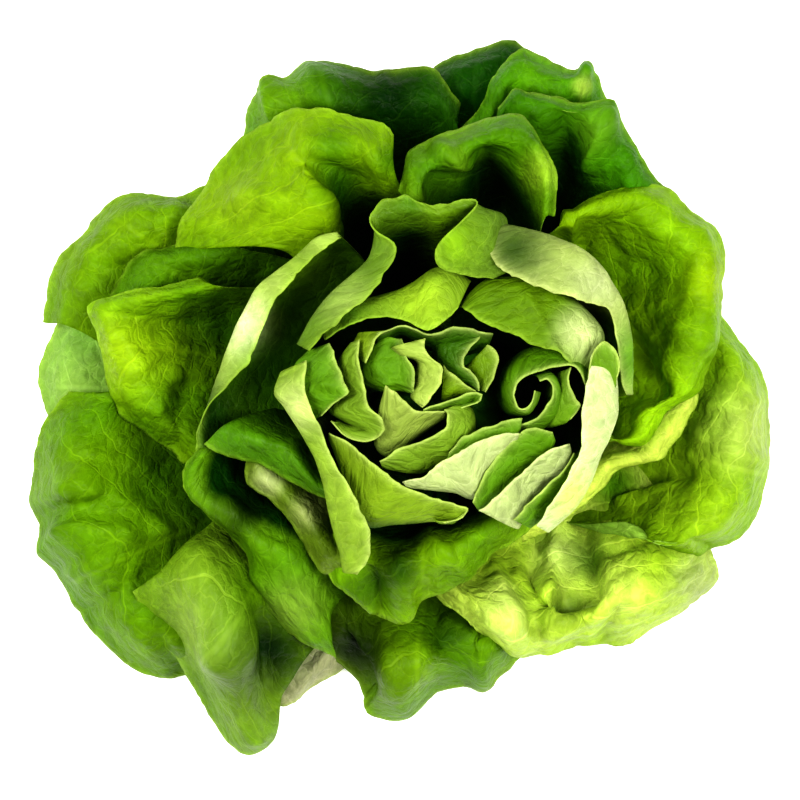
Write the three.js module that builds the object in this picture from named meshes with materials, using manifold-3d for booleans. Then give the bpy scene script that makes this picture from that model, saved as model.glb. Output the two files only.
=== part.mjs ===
// A head of butterhead lettuce, opened a little, standing on its cut stem.
// Millimetres, +Z up. The origin is the middle of the stem's cut face, on the surface it stands on.
// Each leaf is a blade that leaves the stem, bellies out, rises to a shoulder and ends at its rim.
import * as THREE from "three";
import { mergeVertices } from "three/addons/utils/BufferGeometryUtils.js";
import Module from "manifold-3d";

const wasm = await Module();
wasm.setup();

// Stem
const stemFootRadius = 15;
const stemWaistRadius = 12.5;
const stemTopRadius = 6;
const stemWaistHeight = 22;
const stemTopHeight = 40;
const stemSides = 28;

// Blades
const rimThickness = 0.8;
const rootThickness = 2.2;
const gap = 0.32;
const rootHalfAngle = 34;
const stepsPerSpan = 2;
const weldLength = 1e-3;
const weldPasses = 5;

// Heart core, the packed youngest leaves that fill the middle of the head
const coreFootHeight = 43;
const coreTopHeight = 76;
const coreRadius = 24;
const coreSides = 20;
const heartRootRadius = 6;

const degrees = Math.PI / 180;

const paint = (hex, roughness) =>
  new THREE.MeshStandardMaterial({ color: hex, roughness, metalness: 0, side: THREE.DoubleSide });
const paints = {
  stem: paint("#d9dfb0", 0.7),
  dark: paint("#2f7a10", 0.5),
  green: paint("#4f9a12", 0.5),
  bright: paint("#78b81c", 0.5),
  pale: paint("#b5cf5a", 0.55),
  light: paint("#94c23a", 0.5),
};

// A station across a leaf is the rim's x, y, z and then its shoulder: either x, y, z,
// or the share of the way from root to rim and the shoulder's height.
// Stations run counter-clockwise as seen from above.
const outerLeaves = [
  {
    name: "leaf_outer_left_pale", paint: "light", turn: 178, root: 6, out: 0.6, up: 0.14, wide: 12,
    stations: [
      [-117, 37, 15, 0.84, 21], [-127, 32, 14, 0.86, 23], [-134, 25, 12, 0.87, 23], [-138.5, 16, 10, 0.87, 23],
      [-141.5, 7, 9, 0.87, 23], [-140, -2, 8, 0.87, 22], [-136, -10, 8, 0.87, 20], [-126, -20, 8, 0.86, 18],
      [-112, -28, 8, 0.84, 16],
    ],
  },
  {
    name: "leaf_outer_bottom_rear", paint: "pale", turn: 240, root: 5, out: 0.6, up: 0.12, wide: 8,
    stations: [
      [-76, -80, 4, 0.84, 9], [-71, -94, 3, 0.86, 10], [-63, -104, 2.5, 0.87, 10], [-54, -110, 2.5, 0.88, 11],
      [-44, -101, 3, 0.88, 12], [-29, -93, 4, 0.86, 12],
    ],
  },
  {
    name: "leaf_outer_top", paint: "dark", turn: 84, root: 7, out: 0.6, up: 0.14, wide: 8,
    stations: [
      [37, 106, 18, 0.86, 24], [33, 117, 20, 0.88, 27], [26, 125, 22, 0.88, 30], [18, 124, 23, 0.88, 31],
      [9, 121, 22, 0.88, 31], [1, 117.5, 21, 0.88, 30], [-6, 111, 20, 0.87, 28], [-14, 104, 18, 0.86, 24],
    ],
  },
  {
    name: "leaf_outer_left_upper", paint: "bright", turn: 154, root: 9, out: 0.6, up: 0.15, wide: 12,
    stations: [
      [-76, 74, 24, 0.86, 30], [-84, 73, 24, 0.87, 31], [-90, 69.5, 24, 0.88, 33], [-98, 71.3, 22, 0.87, 35],
      [-109, 70.7, 21, 0.87, 36], [-116, 68, 20, 0.87, 36], [-122, 62, 19, 0.88, 35], [-126, 56.5, 19, 0.89, 34],
      [-134, 48, 17, 0.89, 33], [-137, 37, 17, 0.89, 33], [-139.5, 25.5, 18, 0.9, 32],
    ],
  },
  {
    name: "leaf_outer_left_low", paint: "green", turn: 206, root: 8, out: 0.6, up: 0.13, wide: 12,
    stations: [
      [-131, 1, 30, -111, 2, 34], [-138, -8, 22, -121, -6, 37.5], [-141, -16, 17, 0.87, 39],
      [-142.5, -26, 12, 0.87, 42], [-142.3, -36, 8, 0.86, 44], [-140, -48, 6, 0.86, 41], [-137, -59, 4.5, 0.87, 43],
      [-130, -72, 3, 0.87, 38], [-122, -84, 2.5, 0.87, 33], [-112, -94, 1.5, 0.87, 30], [-99, -99, 1, 0.87, 27],
      [-88, -99, 1, 0.86, 24], [-72, -96, 3, 0.85, 19],
    ],
  },
  {
    name: "leaf_outer_bottom", paint: "green", turn: 268, root: 7, out: 0.6, up: 0.15, wide: 8,
    stations: [
      [-46, -80, 14, 0.84, 26], [-40, -90, 12, 0.84, 31], [-33, -101, 8, 0.82, 26], [-30, -111, 4, 0.82, 24],
      [-25, -115, 2.5, 0.83, 28], [-17, -112.5, 3, 0.83, 36], [-8, -108, 4, 0.84, 38], [0, -104.5, 5, 0.84, 35],
      [9, -104, 4, 0.84, 30], [15, -106, 3, 0.84, 27], [21, -100, 4, 0.84, 30], [30, -91, 6, 0.84, 28],
      [38, -82, 8, 0.84, 24],
    ],
  },
  {
    name: "leaf_outer_top_left", paint: "dark", turn: 111, root: 10, out: 0.6, up: 0.16, wide: 10,
    stations: [
      [7, 102, 36, 0.88, 40], [1, 111, 38, 0.88, 43], [-4, 115, 40, 0.88, 45], [-12, 114.5, 39, 0.88, 47],
      [-22, 114, 38, 0.88, 49], [-32, 116, 36, 0.88, 50], [-40, 117, 34, 0.88, 50], [-47, 115.5, 33, 0.88, 49],
      [-54, 111.5, 34, 0.88, 46], [-60.5, 110, 32, 0.88, 42], [-66, 102, 25, 0.87, 36], [-69, 91, 19, 0.85, 30],
      [-74, 80, 17, 0.84, 26],
    ],
  },
  {
    name: "leaf_outer_top_right", paint: "green", turn: 70, root: 11, out: 0.6, up: 0.16, wide: 8,
    stations: [
      [60, 95, 36, 0.88, 42], [57, 107, 40, 0.9, 45], [53.5, 116, 44, 0.92, 48], [47, 114.5, 42, 0.91, 49],
      [41, 116, 40, 0.9, 49], [36, 119, 39, 0.89, 49], [29.5, 121, 40, 0.89, 48], [23, 114, 40, 0.89, 46],
      [17, 104, 38, 0.88, 42], [11, 97, 35, 0.87, 38], [4, 91, 32, 0.86, 35],
    ],
  },
  {
    name: "leaf_outer_right", paint: "light", turn: 345, root: 9, out: 0.6, up: 0.14, wide: 12,
    stations: [
      [70, -63, 22, 0.85, 34], [84, -60.5, 22, 0.86, 39], [95, -59, 19, 0.86, 42], [104, -52, 14, 0.86, 43],
      [111, -45, 10, 0.86, 44], [114.5, -36, 7, 0.87, 45], [117, -20, 6, 0.87, 45], [116, -5, 8, 0.88, 44],
      [113, 8, 13, 0.9, 42], [105, 18.5, 20, 0.92, 40], [99, 28, 24, 0.9, 36],
    ],
  },
  {
    name: "leaf_outer_right_low", paint: "light", turn: 305, root: 12, out: 0.6, up: 0.17, wide: 10,
    stations: [
      [-5, -68, 31, 0.86, 37], [8, -77, 32, 0.87, 42], [18, -85, 26, 0.86, 48], [28, -89, 20, 0.84, 44],
      [38, -90.5, 15, 0.82, 38], [48, -89.5, 12, 0.82, 42], [58, -90, 9, 0.84, 38], [66, -88.5, 7, 0.84, 42],
      [75, -84, 5, 0.84, 46], [86, -78.5, 4, 0.84, 46], [94, -71, 4, 0.84, 44], [97.5, -64, 6, 0.84, 43],
      [96, -56, 9, 0.84, 41], [93, -44, 13, 0.84, 37],
    ],
  },
  {
    name: "leaf_outer_left_tongue", paint: "green", turn: 230, root: 12, out: 0.6, up: 0.18, wide: 6,
    stations: [
      [-107.5, -69, 36, -92, -57, 46], [-104, -77, 30, -88, -62, 51], [-97, -85, 24, -83, -66, 54],
      [-90, -97, 16, -77, -72, 55], [-80, -114, 8, -70, -81, 51], [-73, -121.5, 4, -64, -87, 43],
      [-67.5, -125, 1.5, -57, -92, 33], [-60, -120, 3, -49, -95, 24],
    ],
  },
];

const middleLeaves = [
  {
    name: "leaf_middle_left_under", paint: "bright", turn: 156, root: 14, out: 0.6, up: 0.17, wide: 8,
    stations: [
      [-79, 57, 36, 0.88, 43], [-89, 53.5, 37, 0.88, 45], [-97, 50.5, 37, 0.9, 45], [-103, 49.5, 37, 0.9, 45],
      [-108, 46, 36, 0.9, 45], [-112.5, 40, 35, 0.9, 44], [-116, 33, 34, 0.9, 43], [-117, 24, 33, 0.9, 42],
    ],
  },
  {
    name: "leaf_middle_right_upper_rear", paint: "dark", turn: 58, root: 15, out: 0.6, up: 0.17, wide: 8,
    stations: [
      [84, 60, 42, 0.88, 47], [83, 69, 44, 0.9, 50], [77, 73.5, 47, 0.9, 53], [72, 79, 50, 0.9, 55],
      [68, 87, 52, 0.9, 57], [64, 93, 54, 0.9, 59], [59, 99, 56, 0.91, 61], [52, 101.5, 57, 0.92, 62],
      [45, 102.8, 57, 0.92, 62], [37, 105, 57, 0.92, 61], [30, 106, 56, 0.92, 60], [25, 106.5, 55, 0.92, 58],
      [20, 100, 53, 0.9, 56],
    ],
  },
  {
    name: "leaf_middle_left", paint: "green", turn: 174, root: 16, out: 0.6, up: 0.18, wide: 8,
    stations: [
      [-84, 41, 50, 0.9, 55], [-95, 38.5, 51, 0.9, 56], [-106, 36.3, 51, 0.9, 56], [-116, 33.5, 49, 0.9, 54],
      [-122, 30.5, 46, 0.91, 52], [-119, 22, 41, 0.9, 51], [-115.5, 13, 37, 0.89, 51], [-115.5, 6, 35, 0.88, 50],
      [-112, -1, 33, 0.87, 49], [-109, -7, 31, 0.87, 47], [-104, -12.5, 30, 0.87, 45], [-97, -17.5, 30, 0.87, 43],
      [-90, -24, 31, 0.87, 40],
    ],
  },
  {
    name: "leaf_middle_right_low_band", paint: "pale", turn: 332, root: 17, out: 0.6, up: 0.2, wide: 6,
    stations: [
      [29, -50, 46, 0.86, 51], [38, -45, 48, 0.88, 53], [47, -36, 49, 0.9, 53], [55, -26, 49, 0.92, 53],
      [63, -22.5, 48, 0.9, 52], [70, -22.5, 47, 0.9, 51], [77, -20.5, 46, 0.91, 50], [82, -16, 45, 0.92, 49],
      [86, -10, 43, 0.92, 47], [90, -2, 40, 0.92, 45], [89, 7, 38, 0.9, 43],
    ],
  },
  {
    name: "leaf_middle_upper_left", paint: "bright", turn: 128, root: 18, out: 0.6, up: 0.2, wide: 6,
    stations: [
      [-16.5, 90, 68, -15.5, 76, 70], [-20, 94, 70, -22, 78, 76], [-27, 96, 66, -28, 82, 71],
      [-36, 98, 62, -37, 82, 68], [-46, 99.3, 57, -43, 80, 68], [-54, 99, 53, -45, 77, 69],
      [-62, 95, 49, -45, 73, 70], [-70, 89, 45, -43, 70, 71], [-78, 80, 42, -41, 66, 71],
      [-85, 68, 40, -42, 61, 70], [-90, 60, 39, -46, 56, 67], [-93.5, 50.5, 39, -54, 50, 61],
    ],
  },
  {
    name: "leaf_middle_right_upper", paint: "bright", turn: 22, root: 19, out: 0.6, up: 0.2, wide: 8,
    stations: [
      [61, -21, 51, 0.88, 56], [72, -17, 50, 0.88, 59], [79, -9, 49, 0.88, 60], [85, -3.5, 48, 0.88, 60],
      [90.5, 1, 47, 0.88, 59], [92.5, 9, 47, 0.88, 60], [96, 18, 48, 0.88, 61], [98, 28, 49, 0.88, 62],
      [98.5, 39, 50, 0.88, 62], [99.5, 50, 50, 0.88, 62], [96, 58, 49, 0.88, 61], [88, 64, 49, 0.88, 61],
      [79, 71.5, 50, 0.88, 61], [70, 72, 53, 0.9, 62], [60, 70, 57, 0.9, 64], [51, 67, 61, 0.9, 66],
      [43, 62, 63, 0.9, 67],
    ],
  },
  {
    name: "leaf_middle_left_low_wave", paint: "green", turn: 220, root: 18, out: 0.6, up: 0.2, wide: 6,
    stations: [
      [-84, -19, 61, -78, -17, 64], [-88.5, -26, 60, -83, -24, 65], [-88, -34, 57, -83, -32, 64],
      [-82, -40, 53, -79, -37, 62], [-75, -47, 49, -73, -41, 61], [-68.5, -54, 45, -67, -44, 60],
      [-64.5, -62, 41, -62, -47, 60], [-63, -70, 37, -58, -50, 60], [-57, -78, 34, -53, -54, 59],
      [-48, -85, 32, -48, -60, 55], [-41, -90, 30, -43, -67, 48], [-36.5, -92.5, 29, -38, -76, 38],
    ],
  },
  {
    name: "leaf_middle_top", paint: "green", turn: 80, root: 20, out: 0.6, up: 0.2, wide: 5,
    stations: [
      [39.5, 62, 73, 35.5, 60, 77], [40.3, 71, 76, 35.5, 70, 80], [39.5, 79, 77, 34, 78, 81],
      [36, 86, 75, 30, 84, 80], [28, 96.5, 69, 23, 87, 78], [18, 95.5, 67, 15, 85, 77],
      [8, 92.5, 65, 7, 82, 76], [-2, 89.5, 64, 0, 79, 76], [-8, 85.5, 63, -4, 75, 75],
      [-12, 79, 64, -7, 70, 74], [-14.5, 71, 65, -10, 64, 71],
    ],
  },
  {
    name: "leaf_middle_bottom", paint: "green", turn: 268, root: 21, out: 0.6, up: 0.22, wide: 5,
    stations: [
      [-41, -55, 58, -36, -46, 64], [-38, -64, 57, -32, -51, 67], [-31, -71, 54, -27, -55, 67],
      [-24, -79, 50, -22, -58, 68], [-18, -81, 48, -17, -59, 68], [-12, -78.5, 48, -12, -58, 68],
      [-6.5, -72.5, 48, -6, -56, 68], [0, -69.8, 49, 0, -54, 68], [7, -66, 50, 5, -52, 68],
      [12, -60.5, 52, 10, -49, 68], [19, -55, 54, 15, -46, 68], [25, -52, 56, 20, -42, 67],
      [32, -46, 58, 25, -37, 65],
    ],
  },
];

const innerLeaves = [
  {
    name: "leaf_inner_left_olive", paint: "pale", turn: 220, root: 24, out: 0.62, up: 0.25, wide: 3,
    stations: [
      [-67, -23, 62, -61, -20, 65], [-67.5, -30, 62, -60, -26, 67], [-61, -35.5, 61, -55, -30, 68],
      [-55, -41, 60, -51, -35, 69], [-50, -47.5, 59, -46, -40, 69], [-45.5, -54.5, 58, -42, -46, 69],
      [-41.5, -61, 57, -38, -52, 68], [-35, -63, 57, -32, -55, 66],
    ],
  },
  {
    name: "leaf_inner_left", paint: "bright", turn: 160, root: 25, out: 0.62, up: 0.25, wide: 4,
    stations: [
      [-35, 52, 80, -36.5, 55, 75], [-40, 50.5, 81, -43, 53.5, 76], [-45, 46, 81, -50, 47, 75],
      [-51, 40, 81, -57, 42, 74], [-56, 34, 81, -63, 37, 74], [-60, 27, 81, -67, 30, 74],
      [-63, 19, 80, -71, 22, 73], [-67, 11, 78, -74, 14, 71], [-73, 4, 76, -76, 7, 70],
      [-78.5, -1, 76, -77.5, 0, 69], [-82, -6, 74, -78.5, -6, 69], [-84.5, -12, 73, -80.5, -12, 70],
      [-84.5, -19, 72, -80, -18, 70],
    ],
  },
  {
    name: "leaf_inner_left_flap", paint: "green", turn: 204, root: 27, out: 0.62, up: 0.27, wide: 2,
    stations: [
      [-82, -17, 73, -72, -9, 76], [-77, -20, 72, -67, -12, 79], [-69.5, -22, 71, -62, -14, 80],
      [-61, -24.5, 70, -57, -16, 81], [-54, -29, 71, -52.5, -17.5, 81], [-47, -33, 71, -48, -23, 81],
      [-41, -35.5, 72, -43, -29, 80], [-36, -37, 73, -37, -32, 78],
    ],
  },
  {
    name: "leaf_inner_right_ribbon", paint: "pale", turn: 342, root: 28, out: 0.66, up: 0.3, wide: 3,
    stations: [
      [33, -45, 94, 37, -47, 86], [36, -40, 97, 45, -40, 88], [40, -34, 98, 49.5, -34, 89],
      [44, -27, 99, 53, -27, 90], [47, -21, 99, 55.5, -20, 91], [48.5, -15, 99, 58.5, -14, 91],
      [48, -9, 99, 61, -7, 91], [49, -2, 99, 61, -1, 91], [50, 5, 99, 60.5, 5, 91],
      [51, 11, 98, 60, 11, 90], [53, 16, 96, 58, 17, 88],
    ],
  },
  {
    name: "leaf_inner_left_ribbon", paint: "light", turn: 204, root: 29, out: 0.66, up: 0.3, wide: 3,
    stations: [
      [-46, 12, 94, -54, 8, 87], [-47, 5, 96, -56, 1, 88], [-45, -3, 97, -53, -4, 89],
      [-42, -10, 97, -48.5, -11, 90], [-39, -18, 97, -44.5, -18, 90], [-35.5, -25, 97, -41.5, -24, 90],
      [-31, -33, 96, -39.5, -31, 89], [-28, -39, 95, -38, -38, 88], [-25, -44, 94, -36.5, -44, 87],
      [-24, -50, 93, -35, -50, 86], [-25, -57, 91, -33.5, -55, 85], [-29, -62, 88, -33, -60, 83],
    ],
  },
  {
    name: "leaf_inner_right_cap", paint: "pale", turn: 40, root: 31, out: 0.66, up: 0.3, wide: 3,
    stations: [
      [62, 4, 93, 65, 3, 86], [62, 11, 95, 66, 11, 88], [61, 18, 96, 66, 18, 89],
      [60, 25, 97, 64.5, 26, 90], [57, 30, 98, 63, 32, 91], [50, 31.5, 100, 60, 38, 93],
      [44, 33.5, 101, 55, 45.5, 94], [37, 36, 101, 48, 51, 94], [30, 39, 101, 40, 54, 94],
      [23, 42, 100, 32, 56.5, 93], [18, 47, 98, 24, 58.5, 91], [15, 54, 94, 17, 58, 88],
    ],
  },
  {
    name: "leaf_inner_top", paint: "bright", turn: 112, root: 33, out: 0.66, up: 0.3, wide: 3,
    stations: [
      [18, 40, 96, 24, 42, 90], [8, 41, 99, 21, 49, 92], [-1, 44, 100, 18.5, 56, 93],
      [-1, 52, 99, 17, 61, 92], [12.5, 65.5, 97, 13.5, 63.5, 90], [5.5, 67, 95, 5.5, 62, 91], [-0.5, 65, 95, -0.5, 60.5, 92],
      [-7, 67, 95, -6, 61.5, 92], [-14, 68.5, 95, -12, 62, 92], [-22, 66, 95, -18, 60.5, 92],
      [-24.5, 60, 96, -21, 57.5, 91], [-22, 55.5, 99, -22.5, 54, 91], [-16, 51, 99, -22.5, 50, 92],
      [-18, 44, 99, -24.5, 45.5, 93],
      [-25, 34, 100, -30, 40, 94], [-32, 28, 100, -37, 33.5, 94], [-40, 21, 99, -43.5, 25.5, 93],
      [-45, 15, 96, -48.5, 17, 90],
    ],
  },
  {
    name: "leaf_inner_right_fold", paint: "bright", turn: 45, root: 35, out: 0.7, up: 0.34, wide: 2,
    stations: [
      [49, 8, 94, 54, 10, 89], [44, 12, 98, 53, 18.5, 91], [38, 15, 99, 48, 24, 92],
      [32, 17, 99, 42, 28, 93], [26, 20, 99, 35, 31.5, 93], [20, 22, 99, 29, 34, 93], [14, 25, 99, 22, 36, 92],
      [9, 29, 98, 14, 36.5, 91], [6, 30, 92, 8, 33, 88],
    ],
  },
  {
    name: "leaf_inner_top_fold", paint: "light", turn: 112, root: 36, out: 0.7, up: 0.34, wide: 2,
    stations: [
      [6, 30, 97, 9, 36, 90], [1, 25, 99, 3, 37.5, 92], [-4, 22.5, 100, -3, 36.5, 93],
      [-10, 25, 99, -10, 34, 92], [-17, 26.5, 97, -18, 32, 91], [-24, 26.5, 96, -26, 31, 90],
      [-32, 24, 95, -34, 28, 89], [-40, 19, 92, -41, 22, 87],
    ],
  },
];

// The youngest leaves, packed together into one heart: each entry is a leaf fused to the core.
const heartLeaves = [
  {
    turn: 180,
    stations: [
      [-36, 15, 94, -42, 15, 88], [-35, 10, 96, -43, 9, 89], [-31, 1, 97, -42, 2, 90],
      [-36, -5, 96, -41, -3, 90], [-39, -9, 92, -40, -9, 88],
    ],
  },
  {
    turn: 185,
    stations: [
      [-29, 19, 96, -31, 20, 90], [-27, 11, 98, -33, 11, 91], [-27, 1, 99, -32, 2, 92],
      [-23, -6, 99, -31, -5, 92], [-19.5, -12, 98, -30, -11, 92], [-24, -15.5, 95, -32, -15, 89],
    ],
  },
  {
    turn: 165,
    stations: [
      [-15, 20.5, 98, -20, 20, 92], [-12.5, 15, 100, -21.5, 14, 93], [-10, 7.5, 101, -21.5, 7, 94],
      [-9, 2, 101, -19.5, 1, 94], [-7, -3, 100, -15, -5, 94], [-2, -5.5, 98, -8, -9, 92],
    ],
  },
  {
    turn: 60,
    stations: [
      [-8, -2.5, 99, -4.5, -3, 93], [-5, 4, 101, -0.5, 3.5, 94], [-3, 9, 102, 1.5, 9.5, 95],
      [-7, 13, 101, -3, 16, 95], [-13, 16, 99, -10, 19.5, 93],
    ],
  },
  {
    turn: 30,
    stations: [
      [15, 0.5, 96, 16.5, 0, 91], [14.5, 6, 99, 19, 6, 93], [12, 11, 100, 21, 13, 94],
      [12.5, 14.5, 98, 17, 18, 93],
    ],
  },
  {
    turn: 95,
    stations: [
      [18, 21, 96, 17, 19, 90], [12, 22.5, 97, 11, 20, 91], [6, 23.5, 98, 5, 21, 92], [0, 21.5, 98, 0, 19, 92],
      [-6, 21.5, 98, -5, 19, 92], [-13, 24, 98, -12, 21, 92], [-19, 21.5, 97, -17, 19, 91],
      [-26, 11, 96, -24, 10, 90],
    ],
  },
  {
    turn: 275,
    stations: [
      [-21, -21, 98, -22, -25, 92], [-12, -16, 100, -11, -24, 93], [-4, -10.5, 101, -2, -21, 94],
      [2, -8.5, 101, 5, -18, 94], [2, -6.5, 101, 8.5, -11, 94], [-1, -6, 99, 6, -5, 93],
    ],
  },
  {
    turn: 290,
    stations: [
      [-12, -30, 96, -12, -31.5, 91], [-6, -28.5, 98, -3, -32.5, 91], [-1, -25.5, 99, 5, -32.5, 91],
      [5, -21, 100, 11, -31.5, 92], [10, -17, 100, 15, -27, 93], [15, -14, 100, 19, -22, 93],
      [21, -13, 99, 23, -18, 93], [27, -13, 96, 28, -14.5, 91],
    ],
  },
  {
    turn: 318,
    stations: [
      [10, -37, 95, 13, -38, 89], [13, -32, 97, 17, -33, 90], [17, -25, 98, 20.5, -27.5, 91],
      [25, -18, 98, 28, -22, 91], [30, -12.5, 98, 33, -18, 91], [34, -11, 97, 37.5, -16, 91],
      [37, -11, 95, 39, -13, 89],
    ],
  },
  {
    turn: 325,
    stations: [
      [15, -40, 93, 18, -43, 87], [20, -34, 96, 25, -39, 88], [25, -29, 97, 29, -33.5, 89],
      [32, -24, 97, 35, -28.5, 89], [38, -19, 97, 41, -24, 89], [42, -15, 95, 44, -18, 88],
    ],
  },
  {
    turn: 250,
    stations: [
      [-35, -16, 92, -36, -19, 87], [-32, -18, 94, -33.5, -24, 88], [-26, -22, 96, -30, -31, 88],
      [-20, -26.5, 97, -25, -36, 89], [-14, -30.5, 97, -19, -39.5, 89], [-7, -33.5, 97, -10, -41, 89],
      [0, -35.7, 97, -1, -42, 89], [7, -38, 95, 5, -43, 89],
    ],
  },
  {
    turn: 0,
    stations: [
      [31, -9, 95, 35, -10, 90], [34, -5, 98, 39.5, -4, 92], [36.5, 1, 99, 41.5, 3, 92],
      [35, 5, 99, 39, 10, 92],
    ],
  },
  {
    turn: 15,
    stations: [
      [27, -4, 95, 23, -3, 89], [28, 1, 98, 26, 4, 91], [31, 4.5, 99, 30, 9.5, 92], [35, 6, 98, 36, 12, 91],
    ],
  },
];

const heartShape = { root: 50, out: 0.8, up: 0.42, wide: 0 };

// The stem's radius at a height: a straight butt that narrows towards the growing tip.
function stemRadiusAt(height) {
  if (height < stemWaistHeight) {
    return THREE.MathUtils.mapLinear(height, 0, stemWaistHeight, stemFootRadius, stemWaistRadius);
  }
  const share = Math.min((height - stemWaistHeight) / (stemTopHeight - stemWaistHeight), 1);
  return THREE.MathUtils.lerp(stemWaistRadius, stemTopRadius, share);
}

// The four guide rows of a leaf, root, belly, shoulder and rim, each with one point per station.
function guideRows(leaf, rootRadius) {
  const count = leaf.stations.length - 1;
  const rows = [[], [], [], []];
  leaf.stations.forEach((station, i) => {
    const side = (2 * i) / count - 1;
    const angle = (leaf.turn + rootHalfAngle * side) * degrees;
    const root = new THREE.Vector3(Math.cos(angle) * rootRadius, Math.sin(angle) * rootRadius, leaf.root);
    const rim = new THREE.Vector3(station[0], station[1], station[2]);
    let shoulder = new THREE.Vector3(station[3], station[4], station[5]);
    if (station.length === 5) {
      shoulder = root.clone().lerp(rim, station[3]);
      shoulder.z = station[4];
    }
    const belly = root.clone().lerp(shoulder, leaf.out);
    belly.x -= Math.sin(leaf.turn * degrees) * leaf.wide * side;
    belly.y += Math.cos(leaf.turn * degrees) * leaf.wide * side;
    belly.z = THREE.MathUtils.lerp(root.z, shoulder.z, leaf.up);
    [root, belly, shoulder, rim].forEach((point, j) => rows[j].push(point));
  });
  return rows;
}

// Cubic through four points in a row, for a share of the way from the second to the third.
function cubic(a, b, c, d, t) {
  const point = new THREE.Vector3();
  for (const axis of ["x", "y", "z"]) {
    const rise = c[axis] - a[axis];
    const bend = 2 * a[axis] - 5 * b[axis] + 4 * c[axis] - d[axis];
    const twist = 3 * (b[axis] - c[axis]) + d[axis] - a[axis];
    point[axis] = b[axis] + 0.5 * t * (rise + t * (bend + t * twist));
  }
  return point;
}

// The leaf's middle surface as columns, one for each station, of points from root to rim.
function leafColumns(leaf, rootRadius) {
  const rows = guideRows(leaf, rootRadius);
  return rows[0].map((_, i) => {
    const guide = rows.map((row) => row[i]);
    const before = guide[0].clone().multiplyScalar(2).sub(guide[1]);
    const after = guide[3].clone().multiplyScalar(2).sub(guide[2]);
    const line = [before, ...guide, after];
    const column = [];
    for (let span = 0; span < 3; span++) {
      for (let step = 0; step < stepsPerSpan; step++) {
        column.push(cubic(line[span], line[span + 1], line[span + 2], line[span + 3], step / stepsPerSpan));
      }
    }
    column.push(guide[3].clone());
    return column;
  });
}

// The two triangles that each cell of a sheet is split into, as corners in the sheet.
const cellCorners = [
  [[0, 0], [1, 0], [1, 1]],
  [[0, 0], [1, 1], [0, 1]],
];

// Each point's normal, the sum of those of the triangles round it: it points to the leaf's outer face.
function normalsOf(columns) {
  const normals = columns.map((column) => column.map(() => new THREE.Vector3()));
  for (let i = 0; i < columns.length - 1; i++) {
    for (let j = 0; j < columns[0].length - 1; j++) {
      for (const corners of cellCorners) {
        const [a, b, c] = corners.map(([m, n]) => columns[i + m][j + n]);
        const face = b.clone().sub(a).cross(c.clone().sub(a)).normalize();
        for (const [m, n] of corners) normals[i + m][j + n].add(face);
      }
    }
  }
  for (const column of normals) for (const normal of column) normal.normalize();
  return normals;
}

// Moves the sheet's edge points outwards along the sheet.
function growEdges(columns, distance) {
  const grown = columns.map((column) => column.map((point) => point.clone()));
  const push = (point, from) => point.clone().sub(from).normalize().multiplyScalar(distance);
  const top = columns[0].length - 1;
  const last = columns.length - 1;
  for (let i = 0; i <= last; i++) {
    grown[i][top].add(push(columns[i][top], columns[i][top - 1]));
    grown[i][0].add(push(columns[i][0], columns[i][1]));
  }
  for (let j = 0; j <= top; j++) {
    grown[0][j].add(push(columns[0][j], columns[1][j]));
    grown[last][j].add(push(columns[last][j], columns[last - 1][j]));
  }
  return grown;
}

// A closed blade: the sheet's two faces, split into triangles alike, joined round the edge.
function bladeSolid(columns, extra) {
  const sheet = extra > 0 ? growEdges(columns, extra) : columns;
  const normals = normalsOf(columns);
  const wide = sheet.length;
  const tall = sheet[0].length;
  const positions = [];
  for (const side of [1, -1]) {
    for (let i = 0; i < wide; i++) {
      for (let j = 0; j < tall; j++) {
        const share = 1 - j / (tall - 1);
        const middle = 1 - Math.abs((2 * i) / (wide - 1) - 1);
        const half = (rimThickness + (rootThickness - rimThickness) * share * share * middle) / 2 + extra;
        const point = sheet[i][j].clone().addScaledVector(normals[i][j], side * half);
        positions.push(point.x, point.y, point.z);
      }
    }
  }
  const at = (i, j, side) => side * wide * tall + i * tall + j;
  const triangles = [];
  for (let i = 0; i < wide - 1; i++) {
    for (let j = 0; j < tall - 1; j++) {
      for (const [a, b, c] of cellCorners) {
        const corner = ([m, n], side) => at(i + m, j + n, side);
        triangles.push(corner(a, 0), corner(b, 0), corner(c, 0));
        triangles.push(corner(a, 1), corner(c, 1), corner(b, 1));
      }
    }
  }
  const edge = [];
  for (let i = 0; i < wide - 1; i++) edge.push([i, 0]);
  for (let j = 0; j < tall - 1; j++) edge.push([wide - 1, j]);
  for (let i = wide - 1; i > 0; i--) edge.push([i, tall - 1]);
  for (let j = tall - 1; j > 0; j--) edge.push([0, j]);
  edge.forEach(([i, j], k) => {
    const [m, n] = edge[(k + 1) % edge.length];
    triangles.push(at(i, j, 0), at(i, j, 1), at(m, n, 1));
    triangles.push(at(i, j, 0), at(m, n, 1), at(m, n, 0));
  });
  return solidFrom(new Float32Array(positions), new Uint32Array(triangles));
}

function solidFrom(vertProperties, triVerts) {
  return new wasm.Manifold(new wasm.Mesh({ numProp: 3, vertProperties, triVerts }));
}

// A turned solid from a profile of radius and height that starts and ends on the axis.
function turnedSolid(profile, sides) {
  const geometry = new THREE.LatheGeometry(profile.map(([r, h]) => new THREE.Vector2(r, h)), sides);
  geometry.rotateX(Math.PI / 2);
  geometry.deleteAttribute("normal");
  geometry.deleteAttribute("uv");
  const merged = mergeVertices(geometry, 1e-3);
  return solidFrom(merged.attributes.position.array, new Uint32Array(merged.index.array));
}

function stemSolid(extra) {
  return turnedSolid(
    [
      [0, 0],
      [stemFootRadius + extra, 0],
      [stemWaistRadius + extra, stemWaistHeight],
      [stemTopRadius + extra, stemTopHeight],
      [0, stemTopHeight + extra],
    ],
    stemSides,
  );
}

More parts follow.
